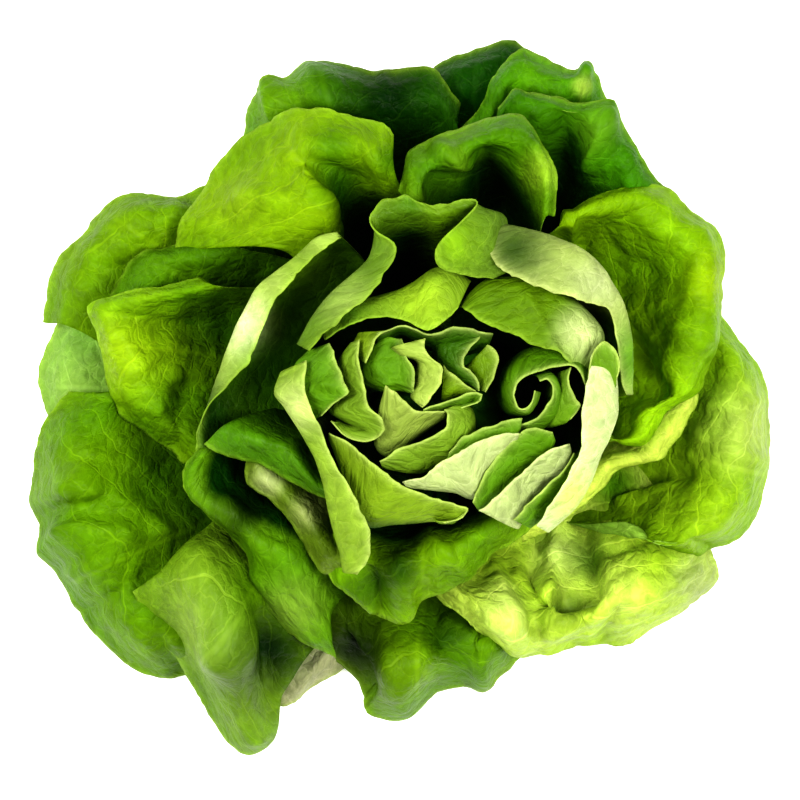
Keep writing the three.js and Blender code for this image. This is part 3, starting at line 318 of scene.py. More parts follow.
# The youngest leaves, packed together into one heart over a core. Each names its tint.
heartLeaves = [
    {"turn": 175, "tint": "leafy", "folds": ((-45, 1, -39, 4, -2, 3), (-39, 4, -32, 2, -2, 3)), "stations": [
        (-38, 18, 94, -43, 16, 89), (-36.5, 14, 96, -45, 12, 89), (-34, 7, 97, -45.5, 6, 89),
        (-31, 1, 98, -45, 0, 89), (-35, -2, 96, -44, -4, 88), (-41, -7, 93, -43, -8, 87),
    ]},
    {"turn": 185, "tint": "bright", "stations": [
        (-28, 19, 96, -30, 18, 93), (-28, 13, 98, -33, 12, 91), (-26.5, 6, 99, -32, 6, 91),
        (-25.5, 0, 99, -31, 1, 90), (-24, -4, 99, -33, -4, 90), (-20.5, -8, 99, -29, -8, 91),
        (-19.5, -12, 98, -25, -11.5, 91), (-22, -15.5, 96, -25.5, -12.5, 90), (-27, -16.5, 94, -30, -13, 90),
        (-33, -14, 93, -35, -11, 90), (-37.5, -9, 93, -36, -9.5, 91),
    ]},
    {"turn": 140, "tint": "olive", "stations": [
        (-19, 22, 97, -25, 21.5, 91), (-22, 20, 98, -27, 19, 91), (-24, 15, 98, -27.8, 15, 91),
        (-26, 11, 96, -27.5, 12, 91),
    ]},
    {"turn": 140, "tint": "leafy",
     "folds": ((-16, 18, -14.5, 4, 2.5, 7), (-19, 4, -9, 3.6, -2, 2.5)), "stations": [
        (-14, 19.5, 95, -18, 20, 92), (-12, 14, 97, -20.5, 15, 92), (-10, 9, 98, -21, 9.5, 92),
        (-9, 4, 98, -20.5, 4, 91), (-9, 0.5, 96, -18, 1, 89),
    ]},
    {"turn": 100, "tint": "pale", "stations": [
        (-5, 19.5, 98, -12.5, 17.5, 96), (-5, 16, 99, -10.5, 14.5, 96), (-3, 13, 100, -7, 13, 96),
        (0, 10.5, 101, -4.5, 11, 96), (0.7, 7.5, 101, -4.2, 8.5, 96), (-0.5, 3, 101, -5.5, 4, 96),
        (-3.5, -1.5, 100, -7.5, 0, 96), (-6.5, -4.3, 98, -8.8, -2.2, 95),
    ]},
    {"turn": 95, "tint": "dark", "stations": [
        (18, 21, 96, 17, 18.5, 91), (14, 21.7, 98, 13, 18, 92), (9, 23.3, 99, 9, 18, 92),
        (4, 23.3, 99, 4, 18, 92), (0, 21.3, 99, 0, 18, 92), (-5, 21, 99, -5, 19, 92),
        (-9, 22.5, 99, -9, 20.5, 92), (-14, 23.5, 99, -14, 22, 92), (-18, 22, 98, -18, 20, 92),
        (-22, 21, 97, -22, 19, 91),
    ]},
    {"turn": 50, "tint": "olive", "stations": [
        (15.2, 1, 96, 14, 1.5, 93), (18.5, 6.5, 98, 14, 5.5, 93), (20.3, 11.5, 98, 13.5, 9, 93),
        (19.5, 15, 98, 12.5, 11, 93), (16, 17.2, 97, 12, 13, 93),
    ]},
    {"turn": 60, "tint": "dark", "stations": [
        (13, 1.5, 98, 10.5, 3, 93), (13.2, 4.5, 99, 9, 4.5, 93), (11, 8, 99, 6, 6, 93),
        (8, 9.8, 99, 3, 10, 93), (8, 12.5, 99, 2, 13, 93), (10, 15.5, 98, 3, 17, 93),
        (14, 20, 97, 8, 19, 93),
    ]},
    {"turn": 40, "tint": "olive", "stations": [
        (12, 1.2, 97, 11, 1, 94), (8, 4, 98, 7, 1.6, 94), (4, 7.5, 98, 3, 2, 94), (1, 10.5, 97, 0.5, 3, 94),
    ]},
    {"turn": 300, "tint": "leafy", "stations": [
        (-6, -5.2, 99, -6, -6.5, 95), (0, -3.7, 100, 0, -5.5, 95), (5, -1.8, 101, 5, -4, 95),
        (9, -0.2, 101, 9.5, -2.5, 95), (13, 0.3, 101, 12, -1.5, 95), (13.8, -1.5, 100, 11, -2.2, 95),
        (10, -3.5, 99, 8, -3, 95), (6, -5, 98, 6, -4.5, 95),
    ]},
    {"turn": 215, "tint": "oliveLight", "stations": [
        (-19, 3.2, 98, -20.5, -3, 93), (-15.5, 1, 99, -20, -10, 92), (-12, -2, 99, -16, -14, 91),
        (-8, -5, 99, -10, -12.5, 91), (-3, -5.8, 100, -4, -10, 92), (2, -5.5, 100, 2, -6.8, 95),
    ]},
    {"turn": 275, "tint": "bright", "stations": [
        (-21, -23, 96, -20, -24.5, 91), (-15, -19, 98, -10, -24, 91), (-9, -16.5, 99, -1, -20, 92),
        (-3, -13.7, 100, 5, -17, 93), (1.5, -11, 100, 8, -13, 94), (2.5, -8.5, 101, 8.7, -8.5, 95),
        (2.5, -6.5, 101, 7.5, -5, 96), (1, -5.2, 100, 4, -4, 97),
    ]},
    {"turn": 250, "tint": "olive", "stations": [
        (-38.5, -13, 93, -38, -15, 88), (-32, -17, 95, -34, -22, 88), (-27, -21.3, 96, -31, -29, 87),
        (-20, -26.5, 97, -28, -36, 87), (-14, -30.7, 97, -22, -40, 87), (-8, -33.3, 98, -13, -41, 88),
        (0, -36, 98, -3, -41, 89), (6, -37.5, 98, 3, -41.5, 90), (9.5, -39, 97, 6, -42.5, 91),
        (7, -42.5, 95, 2, -43.5, 91), (1, -44, 94, -1, -43, 91),
    ]},
    {"turn": 290, "over": 1.1, "tint": "white", "stations": [
        (-13.5, -29.7, 97, -11, -31.5, 93), (-7, -28.3, 99, -4, -32.5, 92), (0, -23.5, 100, 4, -32.3, 92),
        (7, -19, 101, 11, -33, 92), (14, -15.5, 101, 15, -27, 93), (21, -13.5, 101, 20, -21.5, 94),
        (27, -13, 100, 25.5, -16, 94),
    ]},
    {"turn": 295, "tint": "leafy", "stations": [
        (3, -20, 96, 2, -22, 93), (8, -14.5, 98, 8, -19, 94), (14, -12, 99, 14, -15.5, 95),
        (22, -9.5, 99, 21, -13.5, 95), (28, -8.5, 98, 27, -12.5, 95),
    ]},
    {"turn": 318, "tint": "leafy", "stations": [
        (11, -37, 95, 12.5, -39, 90), (14.5, -29, 97, 18, -33.5, 90), (19.5, -22, 98, 23.5, -27, 91),
        (24.5, -16, 99, 29, -21.5, 92), (29.5, -11.5, 99, 34, -18.5, 93), (34.5, -11.8, 99, 37, -16.5, 94),
        (38.5, -12.5, 98, 38.8, -15, 94),
    ]},
    {"turn": 325, "tint": "white", "stations": [
        (13.5, -40, 94, 22, -44, 88), (20, -34.5, 97, 27, -38.5, 89), (27, -28, 98, 31.5, -32, 90),
        (33, -22.5, 98, 37, -27.5, 90), (38.5, -18.7, 98, 42.5, -24, 90), (44.5, -17, 96, 44.8, -20, 90),
    ]},
    {"turn": 325, "over": 1.05, "tint": "leafy", "stations": [
        (25, -43, 92, 31, -45.5, 84), (29, -38, 94, 36, -40.5, 84), (35, -32, 95, 42, -33, 84),
        (42, -26, 95, 47, -27, 85), (46, -20, 94, 48.5, -20, 86),
    ]},
    {"turn": 0, "tint": "leafy", "stations": [
        (18, -11, 93, 20, -14, 89), (25, -10.5, 95, 27, -13, 90), (31.5, -8.5, 97, 33, -11, 91),
        (36.5, -3, 98, 38.5, -5, 93), (38.4, 2, 99, 40, 2, 95), (36.8, 5.5, 99, 37.5, 7, 95),
        (34, 4.8, 99, 33, 6, 95),
    ]},
    {"turn": 20, "tint": "leafy", "stations": [
        (32.5, 1.5, 99, 33.6, 1, 95), (31.2, -2.5, 99, 32.4, -3, 95), (29, -5, 99, 29.6, -6.4, 95),
        (26.3, -4, 99, 24.8, -5.4, 94), (25.3, 0, 99, 23, 0, 94), (27.5, 4.5, 99, 24.5, 7, 93),
        (33, 7.8, 99, 32, 12.5, 92), (40, 9.2, 99, 41, 13.5, 92), (46, 9.5, 98, 48, 12, 91),
        (50, 3, 96, 53, 4, 90),
    ]},
    {"turn": 5, "tint": "bright", "stations": [
        (45, -8, 95, 43, -9.3, 91), (48.5, -3.5, 97, 41.5, -8, 92), (46, -1, 98, 40.5, -3, 93),
        (44, 4, 98, 41, 3, 93), (45, 9.5, 97, 42.5, 8.5, 93),
    ]},
    {"turn": 12, "tint": "bright", "stations": [
        (59, 1, 96, 58.5, 0, 92), (61.5, 9, 98, 59, 3, 94), (60, 15, 99, 57.5, 8, 95),
        (56, 18.5, 100, 55, 11, 96), (52, 14, 100, 51, 10, 96), (51, 9, 99, 50.5, 6, 95),
    ]},
]

# What the growing leaves share. Lengths in millimetres, angles in degrees.
growth = {
    "rootHalfAngle": 34,      # how far round the stem a leaf's foot reaches to each side
    "gap": 0.32,              # between the stem and a leaf's foot
    "floorGap": 0.35,         # between the floor and the lowest rim
    "rimThickness": 0.5,
    "rootThickness": 2.0,
    "ribHeight": 1.1,         # how far the midrib stands out of the outer face at the foot
    "ribWidth": 2.5,          # its half width at the rim
    "ribSpread": 4,           # and what that gains towards the foot
    "cell": 1.25,             # mesh spacing
    "branchPitch": 15,        # between side veins along the midrib
    "branchRise": 0.55,       # how far a side vein climbs for each millimetre outwards
    "branchStray": 0.18,      # how far it strays, in pitches
    "straySize": (21, 27),    # over what length, across and along
    "plainFoot": (6, 40),     # from the root: no relief before the first, all of it past the second
    "plainFlank": (0.72, 1),  # from the midrib, in half widths: the relief fades between these
    "quilt": 0.6,             # height of the swelling between side veins
    "quiltRest": (4, 26),     # from the rim: it rises between these
    "blister": 0.3,           # height of the small blisters
    "blisterSize": 7.5,
    "buckle": 1.5,            # height of the broad dents
    "buckleSize": 24,
    "ruffle": 0.7,            # height of the rim's waves
    "ruffleSize": 19,
    "ruffleDepth": 11,        # how far in from the rim they reach
    "fineRuffle": (2.3, 0.45),  # finer waves on them: how many to one, and their share of the height
    "nibble": 0.55,           # unevenness of the rim's outline
    "nibbleSizes": (4.1, 1.7),
    "nibbleShare": 0.6,       # the smaller size's share of the height
    "creaseRound": 0.6,       # rounding of a fold's crest
}

stemShape = {
    "footRadius": 15, "waistRadius": 12.5, "topRadius": 6, "waistHeight": 22, "topHeight": 40,
    "lip": 0.8,               # bevel round the cut face
    "ribs": 9, "ribDepth": 0.35, "aroundSteps": 160, "alongSteps": 90,
    "flesh": "#dfe3ba", "rings": "#c7d29a", "browned": "#b98d5c",
}

coreShape = {
    "footHeight": 43, "topHeight": 76, "radius": 24, "aroundSteps": 200, "alongSteps": 90,
    "folds": 13, "foldDepth": 1.6,
    "twist": 2.2,             # how far the folds wind, in radians for each radian from foot to top
    # The grooves between the core's folds are painted darker than its ridges: painted shade.
    "grooveShade": "#245406", "ridge": "#3f7a0c",
}

# What the heart's leaves share, where a leaf of its own doesn't say otherwise.
heartShape = {"root": 50, "out": 0.8, "up": 0.42, "wide": 0, "rootRadius": 6, "over": 1.55}


# sRGB hex to linear: (c / 12.92) below 0.04045, else ((c + 0.055) / 1.055) ** 2.4.
def linear(code):
    parts = np.array([int(code[k:k + 2], 16) for k in (1, 3, 5)]) / 255
    return np.where(parts <= 0.04045, parts / 12.92, ((parts + 0.055) / 1.055) ** 2.4)


# a + (b − a) · share.
def blend(a, b, share):
    return a + (b - a) * np.asarray(share)[..., None]


# The same between two colours given as hex.
def mixed(a, b, share):
    return blend(np.broadcast_to(linear(a), (*share.shape, 3)), linear(b), share)


# 0 below low, 1 above high, and 3t² − 2t³ between.
def ease(value, low, high):
    t = np.clip((value - low) / (high - low), 0, 1)
    return t * t * (3 - 2 * t)


# A number from 0 to 1 for each lattice point: the fraction of
# sin(127.1 i + 311.7 j + 74.7 seed) · 43758.5453.
def scatter(i, j, seed):
    whole = np.sin(i * 127.1 + j * 311.7 + seed * 74.7) * 43758.5453
    return whole - np.floor(whole)


# Smooth noise from −1 to 1: lattice numbers blended by 3t² − 2t³ in both directions.
def softNoise(x, y, seed):
    i, j = np.floor(x), np.floor(y)
    s, t = ease(x - i, 0, 1), ease(y - j, 0, 1)
    near = scatter(i, j, seed) * (1 - s) + scatter(i + 1, j, seed) * s
    far = scatter(i, j + 1, seed) * (1 - s) + scatter(i + 1, j + 1, seed) * s
    return 2 * (near * (1 - t) + far * t) - 1


# Rounded cells: with d1 and d2 the distances to the two nearest jittered lattice points,
# 0 on the border between cells, where d1 = d2, rising to 1 inside as d2 − d1 grows.
def cells(x, y, seed):
    first = np.full(np.shape(x), 9.0)
    second = first.copy()
    for m in (-1, 0, 1):
        for n in (-1, 0, 1):
            i, j = np.floor(x) + m, np.floor(y) + n
            away = np.hypot(i + scatter(i, j, seed) - x, j + scatter(i, j, seed + 9) - y)
            second = np.minimum(second, np.maximum(first, away))
            first = np.minimum(first, away)
    return ease(second - first, 0, 0.55)


# Cubic through the points along the first axis at evenly rising shares: with a, b, c, d four
# points in a row, b + t/2 (c − a + t (2a − 5b + 4c − d + t (3(b − c) + d − a))).
def cubicThrough(points, shares):
    ends = 2 * points[:1] - points[1:2], 2 * points[-1:] - points[-2:-1]
    line = np.concatenate([ends[0], points, ends[1]])
    k = np.clip(shares.astype(int), 0, len(points) - 2)
    t = (shares - k).reshape(-1, *[1] * (points.ndim - 1))
    a, b, c, d = (line[k + step] for step in range(4))
    return b + t / 2 * (c - a + t * (2 * a - 5 * b + 4 * c - d + t * (3 * (b - c) + d - a)))


# Shares that step evenly along a line's length, and that length.
def evenShares(points, count):
    length = np.linalg.norm(np.diff(points, axis=0), axis=-1)
    if length.ndim > 1:
        length = length.mean(axis=1)
    reach = np.concatenate([[0], np.cumsum(length)])
    return np.interp(np.linspace(0, reach[-1], count), reach, np.arange(len(reach))), reach[-1]


# The stem's radius at a height: straight from foot to waist, then narrowing to the top.
def stemRadiusAt(height):
    s = stemShape
    return float(np.interp(height, (0, s["waistHeight"], s["topHeight"]),
                           (s["footRadius"], s["waistRadius"], s["topRadius"])))


# The four guide rows of a leaf, one point for each station: the foot on the stem's round, the
# belly at the shares "out" and "up" of the way to the shoulder and "wide" to each side, the
# shoulder, carried "over" times as far from the rim as its station says, and the rim.
def guideRows(leaf, rootRadius):
    count = len(leaf["stations"])
    side = np.linspace(-1, 1, count)
    angle = np.radians(leaf["turn"] + growth["rootHalfAngle"] * side)
    root = np.stack([np.cos(angle) * rootRadius, np.sin(angle) * rootRadius,
                     np.full(count, float(leaf["root"]))], axis=1)
    rim = np.array([station[:3] for station in leaf["stations"]], float)
    shoulder = np.array([
        (*(foot[:2] + (station[:2] - foot[:2]) * station[3]), station[4]) if len(station) == 5
        else station[3:] for foot, station in zip(root, [np.array(s, float) for s in leaf["stations"]])])
    shoulder = rim + (shoulder - rim) * leaf.get("over", 1)
    belly = root + (shoulder - root) * leaf["out"]
    turn = math.radians(leaf["turn"])
    belly[:, 0] -= math.sin(turn) * leaf["wide"] * side
    belly[:, 1] += math.cos(turn) * leaf["wide"] * side
    belly[:, 2] = root[:, 2] + (shoulder[:, 2] - root[:, 2]) * leaf["up"]
    return np.stack([root, belly, shoulder, rim])


# The leaf's middle surface on a grid of (across, along): cubics through the stations, then
# through root, belly, shoulder and rim, at even steps.
def leafSheet(leaf, rootRadius):
    rows = guideRows(leaf, rootRadius)
    edge = rows[2:].mean(axis=0)
    shares, width = evenShares(edge, 8)
    shares, width = evenShares(edge, int(np.clip(width / growth["cell"], 24, 150)))
    across = cubicThrough(rows.transpose(1, 0, 2), shares).transpose(1, 0, 2)
    trialSteps = 60
    trial = cubicThrough(across, np.linspace(0, 3, trialSteps + 1))
    shares, length = evenShares(trial, 8)
    shares, length = evenShares(trial, int(np.clip(length / growth["cell"], 30, 150)))
    return cubicThrough(across, shares * 3 / trialSteps).transpose(1, 0, 2)


# Each grid point's unit normal on the inner face: (step along) × (step across).
def innerNormals(sheet):
    normal = np.cross(np.gradient(sheet, axis=1), np.gradient(sheet, axis=0))
    return normal / np.maximum(np.linalg.norm(normal, axis=2, keepdims=True), 1e-9)


# Where each grid point lies on the leaf, in millimetres: across from the midrib, along from the
# root and rest to the rim. Branch counts side veins: (along − rise · |across|) / pitch +
# stray · noise. NearRim is 1 at the rim and 0 past the ruffles.
def leafFields(sheet, seed):
    g = growth
    steps = np.linalg.norm(np.diff(sheet, axis=0), axis=2)
    across = np.concatenate([np.zeros((1, sheet.shape[1])), np.cumsum(steps, axis=0)])
    across -= across[len(across) // 2]
    steps = np.linalg.norm(np.diff(sheet, axis=1), axis=2)
    along = np.concatenate([np.zeros((sheet.shape[0], 1)), np.cumsum(steps, axis=1)], axis=1)
    rest = along[:, -1:] - along
    branch = (along - g["branchRise"] * np.abs(across)) / g["branchPitch"]
    branch += g["branchStray"] * softNoise(across / g["straySize"][0], along / g["straySize"][1], seed)
    return {"across": across, "along": along, "rest": rest, "branch": branch, "rib": np.abs(across),
            "share": along / along[:, -1:], "side": np.linspace(-1, 1, len(sheet))[:, None],
            "nearRim": 1 - ease(rest, 0, g["ruffleDepth"])}


# A fold's section over the plan: 1 on the segment from start to end, falling to 0 at the
# distance reach as (1 − d / reach)^1.5, so that the crest is a crease.
def foldShape(sheet, start, end, reach):
    start, end = np.array(start, float), np.array(end, float)
    line = end - start
    t = np.clip(((sheet[..., :2] - start) @ line) / (line @ line), 0, 1)
    away = np.linalg.norm(sheet[..., :2] - start - t[..., None] * line, axis=-1)
    return np.clip(1 - np.hypot(away, growth["creaseRound"]) / reach, 0, 1) ** 1.5


# Height over the sheet, along the normal: quilt · sin²(π branch) + blister · cells + buckle ·
# noise, less towards root and flanks, + the look's folds, + ruffle · noise near the rim.
def leafHeight(sheet, at, look, seed):
    g = growth
    across, along = at["across"], at["along"]
    height = g["quilt"] * np.sin(np.pi * at["branch"]) ** 2 * ease(at["rest"], *g["quiltRest"])
    height += g["blister"] * cells(across / g["blisterSize"], along / g["blisterSize"], seed)
    height += g["buckle"] * softNoise(across / g["buckleSize"], along / g["buckleSize"], seed + 3)
    height *= look["relief"] * ease(along, *g["plainFoot"]) * (1 - ease(np.abs(at["side"]), *g["plainFlank"]))
    for x1, y1, x2, y2, rise, reach in look["folds"]:
        height += rise * foldShape(sheet, (x1, y1), (x2, y2), reach)
    pace, share = g["fineRuffle"]
    wave = softNoise(across / g["ruffleSize"], seed + along * 0 + 0.5, seed + 5)
    wave += share * softNoise(across / g["ruffleSize"] * pace, seed + along * 0, seed + 6)
    return height + g["ruffle"] * look["ruffle"] * wave * at["nearRim"] ** 2


# The sheet with its rim moved in and out along the leaf by nibble · noise of two sizes.
def nibbled(sheet, at, seed):
    g = growth
    outward = np.gradient(sheet, axis=1)
    outward /= np.maximum(np.linalg.norm(outward, axis=2, keepdims=True), 1e-9)
    coarse, fine = (softNoise(at["across"] / size, at["along"] * 0, seed + 7 + k)
                    for k, size in enumerate(g["nibbleSizes"]))
    bite = g["nibble"] * (coarse + g["nibbleShare"] * fine) * at["nearRim"] ** 3
    return sheet + outward * bite[..., None]


# A leaf as a closed blade. Thickness: rim + (root − rim) · (1 − share)² · (1 − |side|), and a
# midrib of e^−(across / width)² on the outer face. Drop is how far a point lies below the top of
# its own line from root to rim, and depth is the same on the inner face, before the crest.
def leafBlade(leaf, rootRadius, look, seed):
    g = growth
    sheet = leafSheet(leaf, rootRadius)
    at = leafFields(sheet, seed)
    height = leafHeight(sheet, at, look, seed)
    sheet = nibbled(sheet, at, seed)
    normal = innerNormals(sheet)
    taper = 1 - at["share"]
    rib = np.exp(-(at["across"] / (g["ribWidth"] + g["ribSpread"] * taper)) ** 2)
    thick = g["rimThickness"] + (g["rootThickness"] - g["rimThickness"]) * taper ** 2 * (
        1 - np.abs(at["side"]))
    back = thick / 2 + g["ribHeight"] * rib * taper ** 0.7 * ease(at["along"], *g["plainFoot"])
    both = np.stack([sheet + normal * (height + thick / 2)[..., None],
                     sheet + normal * (height - back)[..., None]])
    both[..., 2] = np.maximum(both[..., 2], g["floorGap"])
    drop = sheet[..., 2].max(axis=1, keepdims=True) - sheet[..., 2]
    inside = np.arange(sheet.shape[1])[None, :] < np.argmax(sheet[..., 2], axis=1)[:, None]
    return both, {**at, "drop": drop, "depth": np.where(inside, drop, 0), "place": sheet[..., :2]}


# How a leaf's colours lie, in millimetres unless it says otherwise.
tonePlan = {
    "patchSize": (19, 23),
    "edgeReach": 1.4,         # the rim's colour fades as e^−(rest / reach)
    "footShare": (0.35, 1),   # the underside turns to the foot's colour between these shares
    "shadeStray": 8,          # how far noise moves the inner face's painted shade
    "underShadeStray": 4,            # and the outer face's
    "underPatch": 0.25,       # how patchy the underside is
}


# Colours over the sheet. Painted shade: the inner face darkens to the root colour by depth, and the outer
# face by drop. The outer face also turns to the foot's colour by share. Washes and the rim's colour then lie
# on both.
def leafTones(at, look, seed):
    t = tonePlan
    across, along = at["across"], at["along"]
    patch = softNoise(across / t["patchSize"][0], along / t["patchSize"][1], seed + 20) * 0.5 + 0.5
    face = mixed(look["face"], look["fresh"], patch * look["patchy"])
    # Painted shade: the deeper a point lies in the head, the nearer its colour comes to the dark root colour.
    shade = ease(at["depth"] + t["shadeStray"] * (patch - 0.5), *look["shade"])
    face = blend(face, linear(look["root"]), shade)
    under = mixed(look["under"], look["fresh"], t["underPatch"] * patch)
    under = blend(under, linear(look["foot"]), ease(1 - at["share"], *t["footShare"]))
    underShade = ease(at["drop"] + t["underShadeStray"] * (patch - 0.5), *look["underShade"])
    under = blend(under, linear(look["root"]), underShade)
    # Washes lie on both faces: the dark ones are painted shade, the pale ones on lit slopes painted
    # highlights, the rest the leaf's own tints.
    for x, y, reach, code, strength in look["washes"]:
        wash = strength * ease(1 - np.hypot(*(at["place"] - (x, y)).transpose(2, 0, 1)) / reach, 0, 1)
        face, under = blend(face, linear(code), wash), blend(under, linear(code), wash)
    # The rim's pale line: partly the margin's own paler colour, partly painted highlight.
    glow = np.exp(-at["rest"] / t["edgeReach"]) * look["rimGlow"]
    return np.stack([blend(side, linear(look["edge"]), glow) for side in (face, under)])


# The quads of a closed blade on a (wide, tall) grid: the inner face, the outer face turned
# the other way, and a strip round the edge.
def bladeQuads(wide, tall):
    at = np.arange(wide * tall).reshape(wide, tall)
    inner = np.stack([at[:-1, :-1], at[:-1, 1:], at[1:, 1:], at[1:, :-1]], axis=-1).reshape(-1, 4)
    outer = inner[:, ::-1] + wide * tall
    loop = np.concatenate([at[:-1, 0], at[-1, :-1], at[:0:-1, -1], at[0, :0:-1]])
    then = np.roll(loop, -1)
    edge = np.stack([loop + wide * tall, loop, then, then + wide * tall], axis=-1)
    return np.concatenate([inner, outer, edge])


# Points, quads, colours, plan and values of one leaf, flat, with the inner face first.
def leafArrays(leaf, rootRadius, look, seed):
    both, at = leafBlade(leaf, rootRadius, look, seed)
    wide, tall = at["share"].shape
    plan = np.stack([at["across"] + 200 * seed, at["along"], at["across"] * 0], axis=-1)
    values = {key: np.tile(at[key].ravel(), 2) for key in ("branch", "rib", "rest")}
    values["under"] = np.repeat([0.0, 1.0], wide * tall)
    return {"points": both.reshape(-1, 3), "quads": bladeQuads(wide, tall),
            "tones": leafTones(at, look, seed).reshape(-1, 3),
            "plan": np.tile(plan.reshape(-1, 3), (2, 1)), "values": values}


# The same for a surface turned about the axis, from its points on a grid of (around, along),
# closed round. It has no veins: branch, rib and rest are kept far from any.
def turnedArrays(points, tones, seed):
    around, tall = points.shape[:2]
    angle = np.arange(around)[:, None] * 2 * np.pi / around + points[..., 2] * 0
    plan = np.stack([angle * 12 + 200 * seed, points[..., 2] + np.hypot(points[..., 0], points[..., 1]),
                     points[..., 0] * 0], axis=-1)
    at = np.arange(around * tall).reshape(around, tall)
    then = np.roll(at, -1, axis=0)
    quads = np.stack([at[:, :-1], then[:, :-1], then[:, 1:], at[:, 1:]], axis=-1)
    values = {key: np.full(around * tall, value) for key, value in
              {"branch": 0.5, "rib": 30.0, "rest": 60.0, "under": 1.0}.items()}
    return {"points": points.reshape(-1, 3), "quads": quads.reshape(-1, 4), "tones": tones.reshape(-1, 3),
            "plan": plan.reshape(-1, 3), "values": values}


# Several sets of arrays as one.
def joined(parts):
    starts = np.cumsum([0] + [len(part["points"]) for part in parts[:-1]])
    whole = {key: np.concatenate([part[key] for part in parts]) for key in ("points", "tones", "plan")}
    whole["quads"] = np.concatenate([part["quads"] + start for part, start in zip(parts, starts)])
    whole["values"] = {key: np.concatenate([part["values"][key] for part in parts])
                       for key in parts[0]["values"]}
    return whole


# A mesh object from points in millimetres and quads, with colour, plan and values at each point.
def meshPiece(name, part, material, nodes):
    quads = part["quads"]
    mesh = bpy.data.meshes.new(name)
    mesh.vertices.add(len(part["points"]))
    mesh.vertices.foreach_set("co", (part["points"] * mm).astype(np.float32).ravel())
    mesh.loops.add(quads.size)
    mesh.loops.foreach_set("vertex_index", quads.astype(np.int32).ravel())
    mesh.polygons.add(len(quads))
    mesh.polygons.foreach_set("loop_start", np.arange(0, quads.size, 4, dtype=np.int32))
    mesh.update(calc_edges=True)
    mesh.validate()
    rgba = np.concatenate([part["tones"], np.ones((len(part["tones"]), 1))], axis=1)
    tone = mesh.color_attributes.new("tone", "FLOAT_COLOR", "POINT").data
    tone.foreach_set("color", rgba.astype(np.float32).ravel())
    spot = mesh.attributes.new("plan", "FLOAT_VECTOR", "POINT").data
    spot.foreach_set("vector", part["plan"].astype(np.float32).ravel())
    for key, value in part["values"].items():
        data = mesh.attributes.new(key, "FLOAT", "POINT").data
        data.foreach_set("value", value.astype(np.float32).ravel())
    mesh.shade_smooth()
    mesh.materials.append(material)
    piece = bpy.data.objects.new(name, mesh)
    bpy.context.scene.collection.objects.link(piece)
    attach(piece, "root")
    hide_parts(*nodes)


# One node with its properties and its inputs: a socket, or a node's first output, is linked,
# and any other value is set.
def addNode(tree, kind, inputs=None, **properties):
    made = tree.nodes.new("ShaderNode" + kind)
    for key, value in properties.items():
        setattr(made, key, value)
    for key, value in (inputs or {}).items():
        source = value.outputs[0] if isinstance(value, bpy.types.Node) else value
        if isinstance(source, bpy.types.NodeSocket):
            tree.links.new(source, made.inputs[key])
        else:
            made.inputs[key].default_value = source
    return made


# An empty material and its tree.
def newMaterial(name):
    material = bpy.data.materials.new(name)
    material.use_nodes = True
    material.node_tree.nodes.clear()
    return material, material.node_tree


# The patterns on a leaf. Each scale is one over a size in millimetres.
veinPlan = {
    "strayScale": 0.09, "stray": 0.5,        # side veins stray this far, in pitches, over 11 mm
    "sideMiddle": 0.012,                     # half width of a side vein's solid middle, in pitches
    "ribMiddle": 0.3, "ribEdge": 1.5,        # the midrib fades between these half widths, in mm
    "bendScale": 0.22, "bend": (7.0, 7.0, 0.0),  # the net is bent this far, in mm, over 5 mm
    "netScale": 0.17, "netWidth": 0.07, "netStrength": 0.55,     # a net with a mesh of 6 mm
    "fineScale": 0.62, "fineWidth": 0.12, "fineStrength": 0.25,  # and a finer one of 1.6 mm
    "inlandFrom": 2.0, "inlandTo": 22.0,     # midrib and side veins come up between these, in mm from the rim
    "mottleScale": 0.16, "mottleLow": 0.3, "mottleHigh": 0.7,    # patches of 6 mm
    "grainScale": 1.7, "grain": 0.22,        # pores of 0.6 mm, drawn coarser than real to show
    "sunk": -0.45,                           # depth of the veins
    "puffWidth": 0.4, "puff": 0.9,           # height of the swelling between them
    "bumpHeight": 0.001,                     # grain, sunk and puff are shares of this, in metres
    "underRough": 0.14,                      # how much rougher the underside is
}


